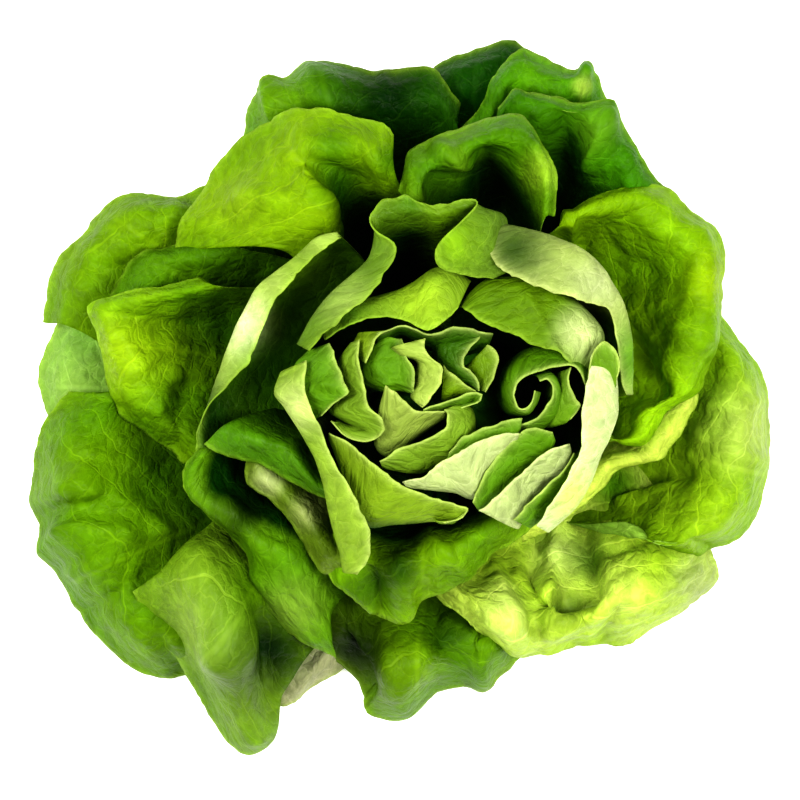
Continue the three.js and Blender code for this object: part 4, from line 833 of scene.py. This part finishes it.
# The veins from 0 to 1, and the distance to the net's nearest vein: a midrib, side veins where
# the branch count is whole, and a bent net of two sizes between them.
def leafVeins(tree, plan, skin):
    v = veinPlan
    branch, rib, rest = (addNode(tree, "Attribute", attribute_name=key).outputs["Fac"]
                         for key in ("branch", "rib", "rest"))
    drift = addNode(tree, "TexNoise", {"Vector": plan, "Scale": v["strayScale"], "Detail": 2.0})
    strayed = addNode(tree, "Math", {0: drift, 1: v["stray"], 2: branch}, operation="MULTIPLY_ADD")
    offVein = addNode(tree, "Math", {0: strayed, 1: 0.5}, operation="PINGPONG")
    sideVein = addNode(tree, "MapRange", {
        "Value": offVein, "From Min": v["sideMiddle"], "From Max": skin["veinWidth"],
        "To Min": 1.0, "To Max": 0.0}, interpolation_type="SMOOTHSTEP")
    midrib = addNode(tree, "MapRange", {
        "Value": rib, "From Min": v["ribMiddle"], "From Max": v["ribEdge"],
        "To Min": 1.0, "To Max": 0.0}, interpolation_type="SMOOTHSTEP")
    inland = addNode(tree, "MapRange", {
        "Value": rest, "From Min": v["inlandFrom"], "From Max": v["inlandTo"],
        "To Min": 0.0, "To Max": 1.0}, interpolation_type="SMOOTHSTEP")
    spine = addNode(tree, "Math", {0: midrib, 1: skin["midrib"]}, operation="MULTIPLY")
    large = addNode(tree, "Math", {0: sideVein, 1: spine}, operation="MAXIMUM")
    main = addNode(tree, "Math", {0: large, 1: inland}, operation="MULTIPLY")
    wander = addNode(tree, "TexNoise", {"Vector": plan, "Scale": v["bendScale"], "Detail": 3.0})
    bent = addNode(tree, "VectorMath", {0: wander.outputs["Color"], 1: v["bend"], 2: plan},
                   operation="MULTIPLY_ADD")
    net, fine = (addNode(tree, "TexVoronoi", {"Vector": bent, "Scale": v[key]},
                         feature="DISTANCE_TO_EDGE").outputs["Distance"]
                 for key in ("netScale", "fineScale"))
    netLine = addNode(tree, "MapRange", {
        "Value": net, "From Min": 0.0, "From Max": v["netWidth"],
        "To Min": v["netStrength"], "To Max": 0.0}, interpolation_type="SMOOTHSTEP")
    fineLine = addNode(tree, "MapRange", {
        "Value": fine, "From Min": 0.0, "From Max": v["fineWidth"],
        "To Min": v["fineStrength"], "To Max": 0.0}, interpolation_type="SMOOTHSTEP")
    small = addNode(tree, "Math", {0: netLine, 1: fineLine}, operation="MAXIMUM")
    return addNode(tree, "Math", {0: main, 1: small}, operation="MAXIMUM"), net


# A living leaf's waxy skin that light comes through: its tone mottled, paler along the veins,
# and swollen between them.
def leafMaterial(name, skin):
    v = veinPlan
    material, tree = newMaterial(name)
    plan = addNode(tree, "Attribute", attribute_name="plan").outputs["Vector"]
    tone = addNode(tree, "Attribute", attribute_name="tone").outputs["Color"]
    under = addNode(tree, "Attribute", attribute_name="under").outputs["Fac"]
    veins, net = leafVeins(tree, plan, skin)
    mottle = addNode(tree, "TexNoise", {"Vector": plan, "Scale": v["mottleScale"], "Detail": 5.0,
                                        "Roughness": 0.6})
    shade, gloss = (addNode(tree, "MapRange", {
        "Value": mottle, "From Min": v["mottleLow"], "From Max": v["mottleHigh"],
        "To Min": skin[key][0], "To Max": skin[key][1]}) for key in ("mottle", "rough"))
    toned = addNode(tree, "VectorMath", {0: tone, "Scale": shade}, operation="SCALE")
    paler = addNode(tree, "VectorMath", {0: toned, 1: skin["veinGain"], 2: tuple(linear(skin["vein"]))},
                    operation="MULTIPLY_ADD")
    lift = addNode(tree, "Math", {0: veins, 1: skin["veinLift"]}, operation="MULTIPLY")
    surface = addNode(tree, "Mix", {0: lift, 6: toned, 7: paler}, data_type="RGBA").outputs[2]
    rough = addNode(tree, "Math", {0: under, 1: v["underRough"], 2: gloss}, operation="MULTIPLY_ADD")
    grain = addNode(tree, "TexNoise", {"Vector": plan, "Scale": v["grainScale"], "Detail": 3.0})
    sunk = addNode(tree, "Math", {0: veins, 1: v["sunk"]}, operation="MULTIPLY")
    puff = addNode(tree, "MapRange", {
        "Value": net, "From Min": 0.0, "From Max": v["puffWidth"],
        "To Min": 0.0, "To Max": 1.0}, interpolation_type="SMOOTHSTEP")
    puffed = addNode(tree, "Math", {0: puff, 1: v["puff"], 2: sunk}, operation="MULTIPLY_ADD")
    relief = addNode(tree, "Math", {0: grain, 1: v["grain"], 2: puffed}, operation="MULTIPLY_ADD")
    bump = addNode(tree, "Bump", {"Height": relief, "Strength": skin["bump"], "Distance": v["bumpHeight"]})
    glow = addNode(tree, "Mix", {0: 1.0, 6: surface, 7: skin["glow"]}, data_type="RGBA",
                   blend_type="MULTIPLY").outputs[2]
    body = addNode(tree, "BsdfPrincipled", {"Base Color": surface, "Roughness": rough, "Normal": bump,
                                            "IOR": 1.45, "Specular IOR Level": skin["sheen"]})
    through = addNode(tree, "BsdfTranslucent", {"Color": glow, "Normal": bump})
    blended = addNode(tree, "MixShader", {0: skin["through"], 1: body, 2: through})
    addNode(tree, "OutputMaterial", {"Surface": blended})
    return material


# What each kind of leaf's skin gives the eye. Outer leaves are waxy, with bold veins and light
# through them. Inner and heart leaves are more tender: fainter veins, more sheen, more light.
outerSkin = {
    "midrib": 0.6,            # strength of the midrib's colour beside the side veins'
    "veinWidth": 0.032,       # half width of a side vein, in pitches
    "vein": "#26300e",        # what a vein adds to the colour
    "veinGain": (1.7, 1.5, 2.2),  # and what it multiplies it by
    "veinLift": 0.55,         # strength of that
    "mottle": (0.78, 1.2),    # the darkest and lightest mottling
    "rough": (0.30, 0.46), "bump": 0.5,
    "glow": (1.25, 1.15, 0.5, 1), "through": 0.30,  # colour and share of the light that comes through
    "sheen": 0.1,             # strength of the mirror reflection
}
middleSkin = {**outerSkin, "veinLift": 0.45}
innerSkin = {**outerSkin, "midrib": 0.25, "vein": "#343c18", "veinLift": 0.4, "rough": (0.34, 0.46),
             "through": 0.34, "sheen": 0.2}
heartSkin = {**innerSkin, "veinLift": 0.35, "through": 0.36}

skins = {
    "outer": leafMaterial("waxy_outer_leaf", outerSkin),
    "middle": leafMaterial("waxy_middle_leaf", middleSkin),
    "inner": leafMaterial("tender_inner_leaf", innerSkin),
    "heart": leafMaterial("pale_heart_leaf", heartSkin),
}

# How a leaf is coloured and shaped in detail, where its own look doesn't say otherwise.
plainLook = {
    "face": "#4f8f08", "fresh": "#7db30e",   # the inner face, and the fresher green that patches it
    "under": "#93b84a", "foot": "#b4c880",   # the outer face, and its foot
    "edge": "#a9cc45", "rimGlow": 0.45,      # the rim's pale line, partly its own paler margin and partly painted highlight, and how strongly it shows
    "root": "#0f3a02",                       # painted shade for both faces deep in the head
    "patchy": 0.5,                           # how far the fresher green goes
    "shade": (8, 34),         # the inner face turns to the root's colour, as painted shade, between these, below its crest
    "underShade": (120, 150),        # and the outer face, as painted shade, between these, below its top
    "relief": 1.0,            # share of the growth's swellings, blisters and dents
    "ruffle": 1.0,            # share of the rim's waves
    "folds": (),              # each crease's x1, y1, x2, y2 in plan, its height and its reach
    "washes": (),             # each soft patch's x, y and radius in plan, its colour and strength: painted shade, painted highlights and the leaf's own tints
}
familyLooks = {"outer": {}, "middle": {}, "inner": {"relief": 0.3, "ruffle": 0.4}}
looks = {
    "outer_left_pale": {"face": "#78a044", "fresh": "#93b354", "patchy": 0.8, "ruffle": 0.7},
    "outer_bottom_rear": {"face": "#9da378", "fresh": "#b0ac86", "patchy": 0.8, "ruffle": 0.6},
    # Its dark face is painted shade.
    "outer_top": {"face": "#174a03", "fresh": "#346305"},
    "outer_left_upper": {
        "face": "#648a06", "fresh": "#76940a",
        "folds": ((-128, 47, -110, 44, -2.5, 7), (-98, 66, -92, 56, -1.5, 6)),
    },
    "outer_left_low": {
        "face": "#548002", "fresh": "#759608",
        "folds": (
            (-138, -36, -126, -31, 4, 10), (-126, -31, -112, -38, 4, 10), (-112, -38, -100, -46, 2.5, 8),
            (-137, -54, -128, -46, 5, 9), (-128, -46, -112, -49, 4, 9), (-112, -49, -92, -49, 3, 9),
            (-104, -64, -116, -72, -4, 10), (-98, -86, -92, -97, -3, 5), (-134, -40, -120, -36, -2, 3),
            (-130, -62, -112, -58, 1.6, 4), (-124, -20, -104, -26, 1.4, 4),
            (-126, -76, -110, -70, -1.6, 4),
        ),
    },
    "outer_bottom": {
        "face": "#557f05", "fresh": "#86a614",
        # Both washes are painted shade in the leaf's valleys, the near-black one in the deepest.
        "washes": ((-30, -90, 26, "#021a01", 1.0), (2, -84, 14, "#173f03", 0.75)),
        "folds": (
            (-33, -80, -28, -108, -8, 12), (-17, -85, -14, -108, 5, 14), (-3, -72, 5, -92, -5, 10),
            (2, -77, 15, -88, 2, 4), (12, -84, 16, -102, 2.5, 5), (20, -80, 26, -92, -2.5, 5),
        ),
    },
    "outer_top_left": {
        # Its dark face and the near-black wash at x −18 are painted shade.
        "face": "#2c6204", "fresh": "#5a8606",
        "washes": ((-58, 100, 26, "#6c9608", 0.8), (-18, 104, 32, "#062c01", 1.0)),
        "folds": (
            (-60, 110, -57, 96, 4, 5), (-45, 113, -37, 102, 3, 9), (-30, 108, -6, 104, -3, 12),
            (-20, 112, -14, 100, 1.8, 4), (-46, 104, -30, 100, 1.6, 4),
        ),
    },
    "outer_top_right": {
        "face": "#457c05", "fresh": "#5f900a",
        "washes": ((50, 108, 6, "#a5bd52", 0.8),),
        "folds": ((51, 115, 50, 102, 3.5, 4), (27, 120, 20, 107, 2, 5)),
    },
    "outer_right": {
        "face": "#769e08", "fresh": "#94b424", "patchy": 0.7, "shade": (22, 52),
        # Its wash is partly the leaf's own pale patch and partly painted light on its right slope.
        "washes": ((108, -12, 26, "#a4b85a", 0.8),),
        "folds": (
            (92, -14, 112, -24, 2.5, 7), (95, -3, 112, -2, 2, 6), (62, -32, 86, -28, -5, 7),
            (64, -38, 80, -31, 3.5, 5), (82, -50, 96, -56, -4, 9),
        ),
    },
    "outer_right_low": {
        "face": "#9cbc28", "fresh": "#bcd060", "patchy": 0.9, "relief": 1.4, "shade": (26, 60),
        "washes": (
            (92, -68, 20, "#9aa86a", 0.8), (42, -56, 14, "#c2d676", 0.8), (22, -76, 14, "#bed070", 0.8),
            # The two darkest washes, at x 52 and 45, are painted shade in the valleys of its folds.
            (52, -56, 13, "#3d6406", 0.85), (45, -73, 9, "#1c4404", 0.8), (62, -32, 15, "#4a800c", 0.9),
        ),
        "folds": (
            (42, -46, 38, -68, 4.5, 7), (50, -45, 52, -70, -6, 8), (19, -64, 27, -86, 5, 9),
            (32, -60, 33, -78, -5, 6), (35, -74, 52, -72, -7, 5), (40, -81, 58, -75, 5, 6),
            (62, -76, 58, -86, -4, 6), (66, -56, 84, -57, 0.9, 1.8), (79, -61, 86, -72, 0.9, 1.8),
            (88, -60, 96, -67, 0.9, 1.8), (56, -46, 76, -42, 2.2, 4), (60, -54, 72, -50, -2.5, 4),
            (28, -62, 30, -72, 2, 4), (66, -64, 84, -66, 1.4, 3.5), (70, -74, 84, -76, 1.2, 3),
        ),
    },
    "outer_left_tongue": {
        "face": "#5c8208", "fresh": "#8ba834", "relief": 0.7,
        # Its washes are painted light and shade: pale on the lit left facet, near-black on the shaded right
        # one.
        "washes": ((-86, -82, 22, "#9db558", 0.5), (-59, -90, 24, "#0a2c01", 1.0)),
        "folds": ((-84, -60, -74, -85, 9, 15), (-74, -85, -66, -116, 9, 14), (-61, -78, -60, -106, -6, 9)),
    },
    "middle_left_under": {"face": "#447204", "fresh": "#6c9208"},
    "middle_right_upper_rear": {
        "face": "#3c7405", "fresh": "#578408", "shade": (12, 34),
        # Its wash is a painted highlight along the ridge.
        "washes": ((53, 93, 13, "#63901c", 0.9),),
        "folds": (
            (58, 100, 53, 82, 6, 9), (27, 105, 27, 98, 2, 4), (30, 101, 38, 91, 2, 5),
            (43, 92, 41, 72, -7, 12), (65, 82, 67, 72, 2, 5),
        ),
    },
    "middle_left": {
        "face": "#578806", "fresh": "#8bac0e", "patchy": 0.6, "shade": (34, 66),
        # Its washes are painted light and shade: pale on the lit left part, dark deeper in towards the heart.
        "washes": ((-112, 16, 30, "#9cba1c", 0.6), (-76, 22, 22, "#1c4c03", 0.8)),
        "folds": (
            (-112, 20, -110, -6, 3.5, 9), (-106, 27, -92, 30, 2, 6), (-106, 9, -94, 17, 1.6, 4),
            (-95, 18, -80, 15, 1, 2.5), (-90, 0, -92, -18, -2.5, 8), (-100, 2, -86, 8, 1.2, 3),
            (-112, 2, -98, -6, 1.4, 4), (-98, 24, -84, 26, -1.6, 4),
        ),
    },
    "middle_right_low_band": {
        "face": "#d2e468", "fresh": "#c2d456", "patchy": 0.9, "relief": 0.5, "shade": (20, 50),
        "folds": ((60, -22, 78, -22, 1.5, 4),),
    },
    "middle_upper_left": {
        "face": "#668c06", "fresh": "#8cac0c", "patchy": 0.6, "relief": 0.8,
        # The pale wash on the lobe at x −68 is a painted sheen, and the dark one at x −36 painted shade in
        # the hollow beside it.
        "washes": (
            (-68, 67, 18, "#8aa61c", 0.6), (-38, 86, 14, "#3d7006", 0.6), (-18, 81, 8, "#55800a", 0.9),
            (-36, 72, 12, "#2f6a06", 0.8),
        ),
        "folds": (
            (-82, 60, -62, 69, 5, 14), (-62, 69, -42, 66, 5, 14), (-60, 94, -48, 82, -3, 8),
            (-48, 81, -30, 75, -4, 6), (-50, 84, -46, 78, 2.5, 4), (-76, 66, -72, 58, -1.8, 5),
        ),
    },
    "middle_right_upper": {
        "face": "#6c9606", "fresh": "#8cac0e", "patchy": 0.6, "shade": (44, 80), "root": "#2a5c06",
        # Its washes are painted light: the broad one lifts the inner face where little light reaches, the
        # other the lit band at the right.
        "washes": ((96, 40, 16, "#8eaa06", 0.8), (70, -4, 30, "#a4d218", 0.95)),
        "folds": (
            (75, 20, 87, 33, 1.1, 2.2), (68, 18, 76, 2, -4.5, 8), (85, 24, 80, 9, 3, 7),
            (44, 62, 48, 52, 3, 4), (91, 56, 92, 20, 2.5, 9), (60, 52, 76, 42, -2, 6),
            (64, 32, 82, 26, 1.6, 6), (70, 62, 84, 52, 1.6, 7),
        ),
    },
    "middle_left_low_wave": {
        "face": "#588607", "fresh": "#7b9e22", "relief": 0.8, "shade": (0, 8),
        # Its washes are a painted sheen on the lower slope and painted shade in the dark gap above it.
        "washes": ((-53, -74, 18, "#7f9c3a", 0.8), (-68, -40, 14, "#061e01", 0.95)),
        "folds": ((-62, -62, -43, -84, 4, 9), (-66, -46, -52, -50, -3, 7), (-76, -38, -62, -52, 3, 6)),
    },
    "middle_top": {
        "face": "#4c7c05", "fresh": "#7b9e1a", "relief": 0.6, "shade": (10, 32),
        # Its washes are painted light and shade: paler along its lit ridges, near-black in the hollow of its
        # mouth.
        "washes": (
            (36, 78, 12, "#94b632", 0.8), (6, 81, 8, "#6f9220", 0.6), (20, 66, 15, "#061a01", 0.95),
            (-2, 76, 10, "#4f7e10", 0.8),
        ),
        "folds": (
            (0, 85, 11, 78, 4, 5), (-2, 73, 12, 72, -6, 8), (-9, 82, -8, 69, 3, 6),
            (17, 78, 20, 62, -10, 11), (31, 92, 35, 80, 1.4, 5), (33, 76, 34, 64, 1.2, 4),
        ),
    },
    "middle_bottom": {
        "face": "#5f8a06", "fresh": "#86a60e", "relief": 0.8, "shade": (3, 18),
        # Its washes are painted light and shade: lighter on the lit ridge at x 3, darker in the valleys to
        # the left.
        "washes": (
            (3, -57, 16, "#6f960a", 0.7), (-14, -60, 11, "#183f03", 0.85), (-23, -68, 14, "#1c4404", 0.8),
        ),
        "folds": (
            (-4, -50, 8, -60, 3.5, 7), (-27, -58, -21, -78, -8, 9), (-34, -64, -24, -76, 3, 4),
            (-14, -60, -10, -78, 3, 8), (8, -52, 16, -58, 1.8, 3.5), (-2, -58, 0, -68, 1.6, 3.5),
        ),
    },
    "inner_left_olive": {
        "face": "#5e7a12", "fresh": "#8b9c3e", "under": "#9ba654", "relief": 0.5, "ruffle": 0.5,
        "shade": (8, 30), "underShade": (9, 20),
        "washes": ((-60, -30, 9, "#c6cf94", 0.6), (-46, -40, 10, "#a9b470", 0.8)),
    },
    "inner_left": {
        "face": "#4e7a08", "fresh": "#6f9418", "under": "#a4ba5c", "shade": (14, 44), "root": "#16480a",
        # Its washes are painted light and shade: a near-white highlight at x −68, dark over the strip's lower
        # end, and a lighter green on the wall at x −56 where little light reaches.
        "washes": (
            (-68, 24, 16, "#d2dba8", 0.85), (-48, 46, 14, "#6f8f1c", 0.7), (-82, -8, 28, "#153c05", 1.0),
            (-56, 8, 22, "#4f860c", 0.9),
        ),
    },
    "inner_left_flap": {"face": "#4e7e06", "fresh": "#6f9612", "under": "#82a624", "shade": (8, 36)},
    "inner_right_ribbon": {
        "face": "#6f941a", "fresh": "#b4c45c", "under": "#bac88c", "edge": "#eaf4be",
        "washes": ((44, -34, 14, "#c3d468", 0.7),),
    },
    "inner_left_ribbon": {
        "face": "#5f880c", "fresh": "#a0b844", "under": "#77942a", "edge": "#cfe284", "underShade": (9, 20),
        "washes": ((-49, -4, 14, "#bccb7c", 0.8),),
    },
    "inner_right_cap": {
        "face": "#6c8c0c", "fresh": "#a9b858", "under": "#98aa5e", "edge": "#dae791", "relief": 0.4,
        "ruffle": 0.5,
        "washes": (
            (25, 50, 21, "#34500e", 0.95), (54, 38, 16, "#a9b480", 0.7), (64, 12, 20, "#5f9012", 0.95),
        ),
    },
    "inner_top": {
        # Its dark face is painted shade.
        "face": "#2a5204", "fresh": "#7b9a20", "under": "#5a7820", "shade": (5, 22), "underShade": (9, 20),
        "washes": (
            (-32, 32, 16, "#8ca250", 0.8), (4, 52, 16, "#86b00a", 0.7), (-10, 70, 10, "#3d700a", 0.8),
        ),
    },
    "inner_right_fold": {
        "face": "#6f9608", "fresh": "#8caa14", "under": "#557806", "shade": (5, 24), "underShade": (10, 20),
        "washes": ((49, 21, 15, "#c2cf8c", 0.9),),
        "folds": ((30, 34, 40, 14, -3, 3.5),),
    },
    "inner_top_fold": {
        "face": "#5f8a0a", "fresh": "#8ba62c", "under": "#7a9a26", "shade": (5, 24), "underShade": (9, 18),
        "washes": ((-6, 32, 14, "#9cbc2c", 0.8), (-34, 28, 16, "#3d6c08", 0.8)),
    },
}

# The heart's leaves are one kind. Each piece's tint is partly its own greener or whiter colour and partly
# painted
# light and shade: darker where it lies in shade, paler where light falls on it.
heartLook = {**plainLook, "face": "#5d920e", "fresh": "#8fb52e", "under": "#a4c24e", "edge": "#c7d87c",
             "root": "#1c4a04", "relief": 0.5, "ruffle": 0.35, "shade": (5, 30), "underShade": (8, 17),
             "rimGlow": 0.55}
heartTints = {
    "leafy": {"face": "#4f7e0a", "fresh": "#6f9614", "under": "#5f8c12"},
    "dark": {"face": "#365f06", "fresh": "#4c780c", "under": "#4c760e"},
    "olive": {"face": "#66860e", "fresh": "#83a01c", "under": "#7f9c22"},
    "oliveLight": {"face": "#769028", "fresh": "#98aa52", "under": "#8fa348"},
    "bright": {"face": "#648c18", "fresh": "#84a230", "under": "#7a9a2a"},
    "pale": {"face": "#88a23c", "fresh": "#a2b858", "under": "#98ae4c"},
    "white": {"face": "#a0b262", "fresh": "#bcc78c", "under": "#adbc7c", "edge": "#d6e2a4"},
}

for seed, (name, leaf) in enumerate(leaves.items(), 1):
    family = name.split("_")[0]
    look = {**plainLook, **familyLooks[family], **looks[name]}
    part = leafArrays(leaf, stemRadiusAt(leaf["root"]) + growth["gap"], look, seed)
    meshPiece("fresh_" + name, part, skins[family], ["leaf_" + name])
print("leaves:", len(leaves))


# The heart's core: radius · sin(s), middle − half · cos(s), pleated by fold depth · |sin| of a
# winding angle, for s from 0 to π.
def coreArrays():
    c = coreShape
    s = np.linspace(0, np.pi, c["alongSteps"])[None, :]
    angle = (np.arange(c["aroundSteps"]) * 2 * np.pi / c["aroundSteps"])[:, None]
    pleat = np.abs(np.sin(angle * c["folds"] / 2 + c["twist"] * s)) * np.sin(s)
    radius = (c["radius"] - c["foldDepth"] * pleat) * np.sin(s)
    middle, half = (c["footHeight"] + c["topHeight"]) / 2, (c["topHeight"] - c["footHeight"]) / 2
    height = middle - half * np.cos(s) - c["foldDepth"] * pleat / 2 + angle * 0
    points = np.stack([np.cos(angle) * radius, np.sin(angle) * radius, height], axis=-1)
    # Painted shade: the grooves take the darker colour.
    return turnedArrays(points, mixed(c["grooveShade"], c["ridge"], pleat), 90)


parts = [coreArrays()]
for seed, young in enumerate(heartLeaves, 60):
    look = {**heartLook, **heartTints[young["tint"]], "folds": young.get("folds", ())}
    parts.append(leafArrays({**heartShape, **young}, heartShape["rootRadius"], look, seed))
heart = joined(parts)
meshPiece("fresh_heart", heart, skins["heart"], ["heart"])
print("heart:", len(heart["quads"]), "quads")


# The stem: down the cut face from the axis, round its lip, and up the ribbed butt to the top.
# Its radius shrinks by rib depth · (1 − sin(ribs · angle)), and the cut face has faint rings.
def stemArrays():
    s = stemShape
    path = np.array([(0, 0), (s["footRadius"] - s["lip"], 0), (s["footRadius"], s["lip"]),
                     (s["waistRadius"], s["waistHeight"]), (s["topRadius"], s["topHeight"]),
                     (0, s["topHeight"])])
    reach = np.concatenate([[0], np.cumsum(np.linalg.norm(np.diff(path, axis=0), axis=1))])
    steps = np.linspace(0, reach[-1], s["alongSteps"])
    radius, height = (np.interp(steps, reach, path[:, k])[None, :] for k in (0, 1))
    angle = (np.arange(s["aroundSteps"]) * 2 * np.pi / s["aroundSteps"])[:, None]
    rib = np.sin(angle * s["ribs"] + 0.5 * softNoise(height / 6 + angle * 0, angle, 4)) * ease(height, 0.5, 4)
    wide = radius * (1 - s["ribDepth"] / s["footRadius"] * (1 - rib))
    points = np.stack([np.cos(angle) * wide, np.sin(angle) * wide, height + angle * 0], axis=-1)
    ring = 0.5 + 0.5 * softNoise(wide * 1.1, angle * 3 + wide * 0, 5)
    cut = ease(1 - height, 0, 0.6) * (0.25 + 0.5 * ring * ease(wide, 4, 15))
    tones = blend(mixed(s["flesh"], s["rings"], ring), linear(s["browned"]), cut)
    return turnedArrays(points, tones, 95)


# The stem's moist flesh: matt and cream, with fibres 1.2 mm apart.
def stemMaterial():
    material, tree = newMaterial("cut_stem")
    plan = addNode(tree, "Attribute", attribute_name="plan").outputs["Vector"]
    tone = addNode(tree, "Attribute", attribute_name="tone").outputs["Color"]
    fibre = addNode(tree, "TexNoise", {"Vector": plan, "Scale": 0.8, "Detail": 4.0})
    shade, rough = (addNode(tree, "MapRange", {
        "Value": fibre, "From Min": 0.3, "From Max": 0.7, "To Min": low, "To Max": high})
        for low, high in ((0.86, 1.1), (0.5, 0.7)))
    toned = addNode(tree, "VectorMath", {0: tone, "Scale": shade}, operation="SCALE")
    bump = addNode(tree, "Bump", {"Height": fibre, "Strength": 0.5, "Distance": 0.0005})
    body = addNode(tree, "BsdfPrincipled",
                   {"Base Color": toned, "Roughness": rough, "Normal": bump, "IOR": 1.42})
    addNode(tree, "OutputMaterial", {"Surface": body})
    return material


stem = stemArrays()
meshPiece("fresh_stem", stem, stemMaterial(), ["stem"])
print("stem:", len(stem["quads"]), "quads")

# The studio, in metres and watts: white paper that glows a little, as under a photographer's
# lamps, a dim sky, and two soft lamps almost overhead.
studio = {
    "floor": "#ffffff", "floorShare": 0.95, "floorSize": 4.0, "floorGlow": 0.36,
    "sky": (1, 1, 0.86, 1),
    "skyLow": 0.7, "skyHigh": 0.36,          # its strength near the horizon and overhead
    "key": {"at": (0.55, -0.12, 1.1), "size": 0.5, "power": 13.4},
    "fill": {"at": (-0.64, 0.08, 1.05), "size": 0.5, "power": 12.6},
    "cameraHeight": 3.4,
    "sensor": 36,                            # its width, in millimetres
    "aim": (-0.014, -0.00175, 0.04),         # the middle of the photograph, at the rims' height
    "field": 0.280,                          # how much of that height's plane the camera sees
}


# Matt white paper with a tooth of 1 mm.
def paperMaterial():
    material = bpy.data.materials.new("white_paper")
    material.use_nodes = True
    tree = material.node_tree
    shader = tree.nodes["Principled BSDF"]
    where = addNode(tree, "TexCoord").outputs["Object"]
    tooth = addNode(tree, "TexNoise", {"Vector": where, "Scale": 900.0, "Detail": 2.0})
    bump = addNode(tree, "Bump", {"Height": tooth, "Strength": 0.05, "Distance": 0.0002})
    tree.links.new(bump.outputs[0], shader.inputs["Normal"])
    shader.inputs["Base Color"].default_value = (*linear(studio["floor"]) * studio["floorShare"], 1)
    shader.inputs["Roughness"].default_value = 0.9
    shader.inputs["Emission Color"].default_value = (1, 1, 1, 1)
    shader.inputs["Emission Strength"].default_value = studio["floorGlow"]
    return material


half = studio["floorSize"] / 2
paper = bpy.data.meshes.new("floor")
corners = [(-half, -half, 0), (half, -half, 0), (half, half, 0), (-half, half, 0)]
paper.from_pydata(corners, [], [(0, 1, 2, 3)])
paper.materials.append(paperMaterial())
floor = bpy.data.objects.new("floor", paper)
bpy.context.scene.collection.objects.link(floor)


# A square area light that faces the head.
def softLight(name, lamp):
    data = bpy.data.lights.new(name, "AREA")
    data.size = lamp["size"]
    data.energy = lamp["power"]
    light = bpy.data.objects.new(name, data)
    light.location = lamp["at"]
    x, y, z = (a - b for a, b in zip(lamp["at"], studio["aim"]))
    light.rotation_euler = (math.atan2(math.hypot(x, y), z), 0, math.atan2(x, -y))
    bpy.context.scene.collection.objects.link(light)


softLight("key", studio["key"])
softLight("fill", studio["fill"])

# The sky is weaker overhead, so that the hollows between leaves stay dark.
world = bpy.data.worlds.new("studio")
world.use_nodes = True
sky = world.node_tree.nodes["Background"]
sky.inputs["Color"].default_value = studio["sky"]
towards = addNode(world.node_tree, "TexCoord").outputs["Generated"]
upwards = addNode(world.node_tree, "SeparateXYZ", {0: towards}).outputs["Z"]
strength = addNode(world.node_tree, "MapRange", {
    "Value": upwards, "From Min": 0.1, "From Max": 0.95,
    "To Min": studio["skyLow"], "To Max": studio["skyHigh"]})
world.node_tree.links.new(strength.outputs[0], sky.inputs["Strength"])
scene = bpy.context.scene
scene.world = world
scene.view_settings.view_transform = "Standard"
scene.view_settings.look = "High Contrast"

# The camera looks straight down, with the photograph's top edge towards +Y.
lens = bpy.data.cameras.new("camera")
lens.sensor_width = studio["sensor"]
lens.lens = studio["sensor"] * (studio["cameraHeight"] - studio["aim"][2]) / studio["field"]
camera = bpy.data.objects.new("camera", lens)
camera.location = (studio["aim"][0], studio["aim"][1], studio["cameraHeight"])
scene.collection.objects.link(camera)
scene.camera = camera
bpy.context.view_layer.update()
print("studio: camera and lamps")
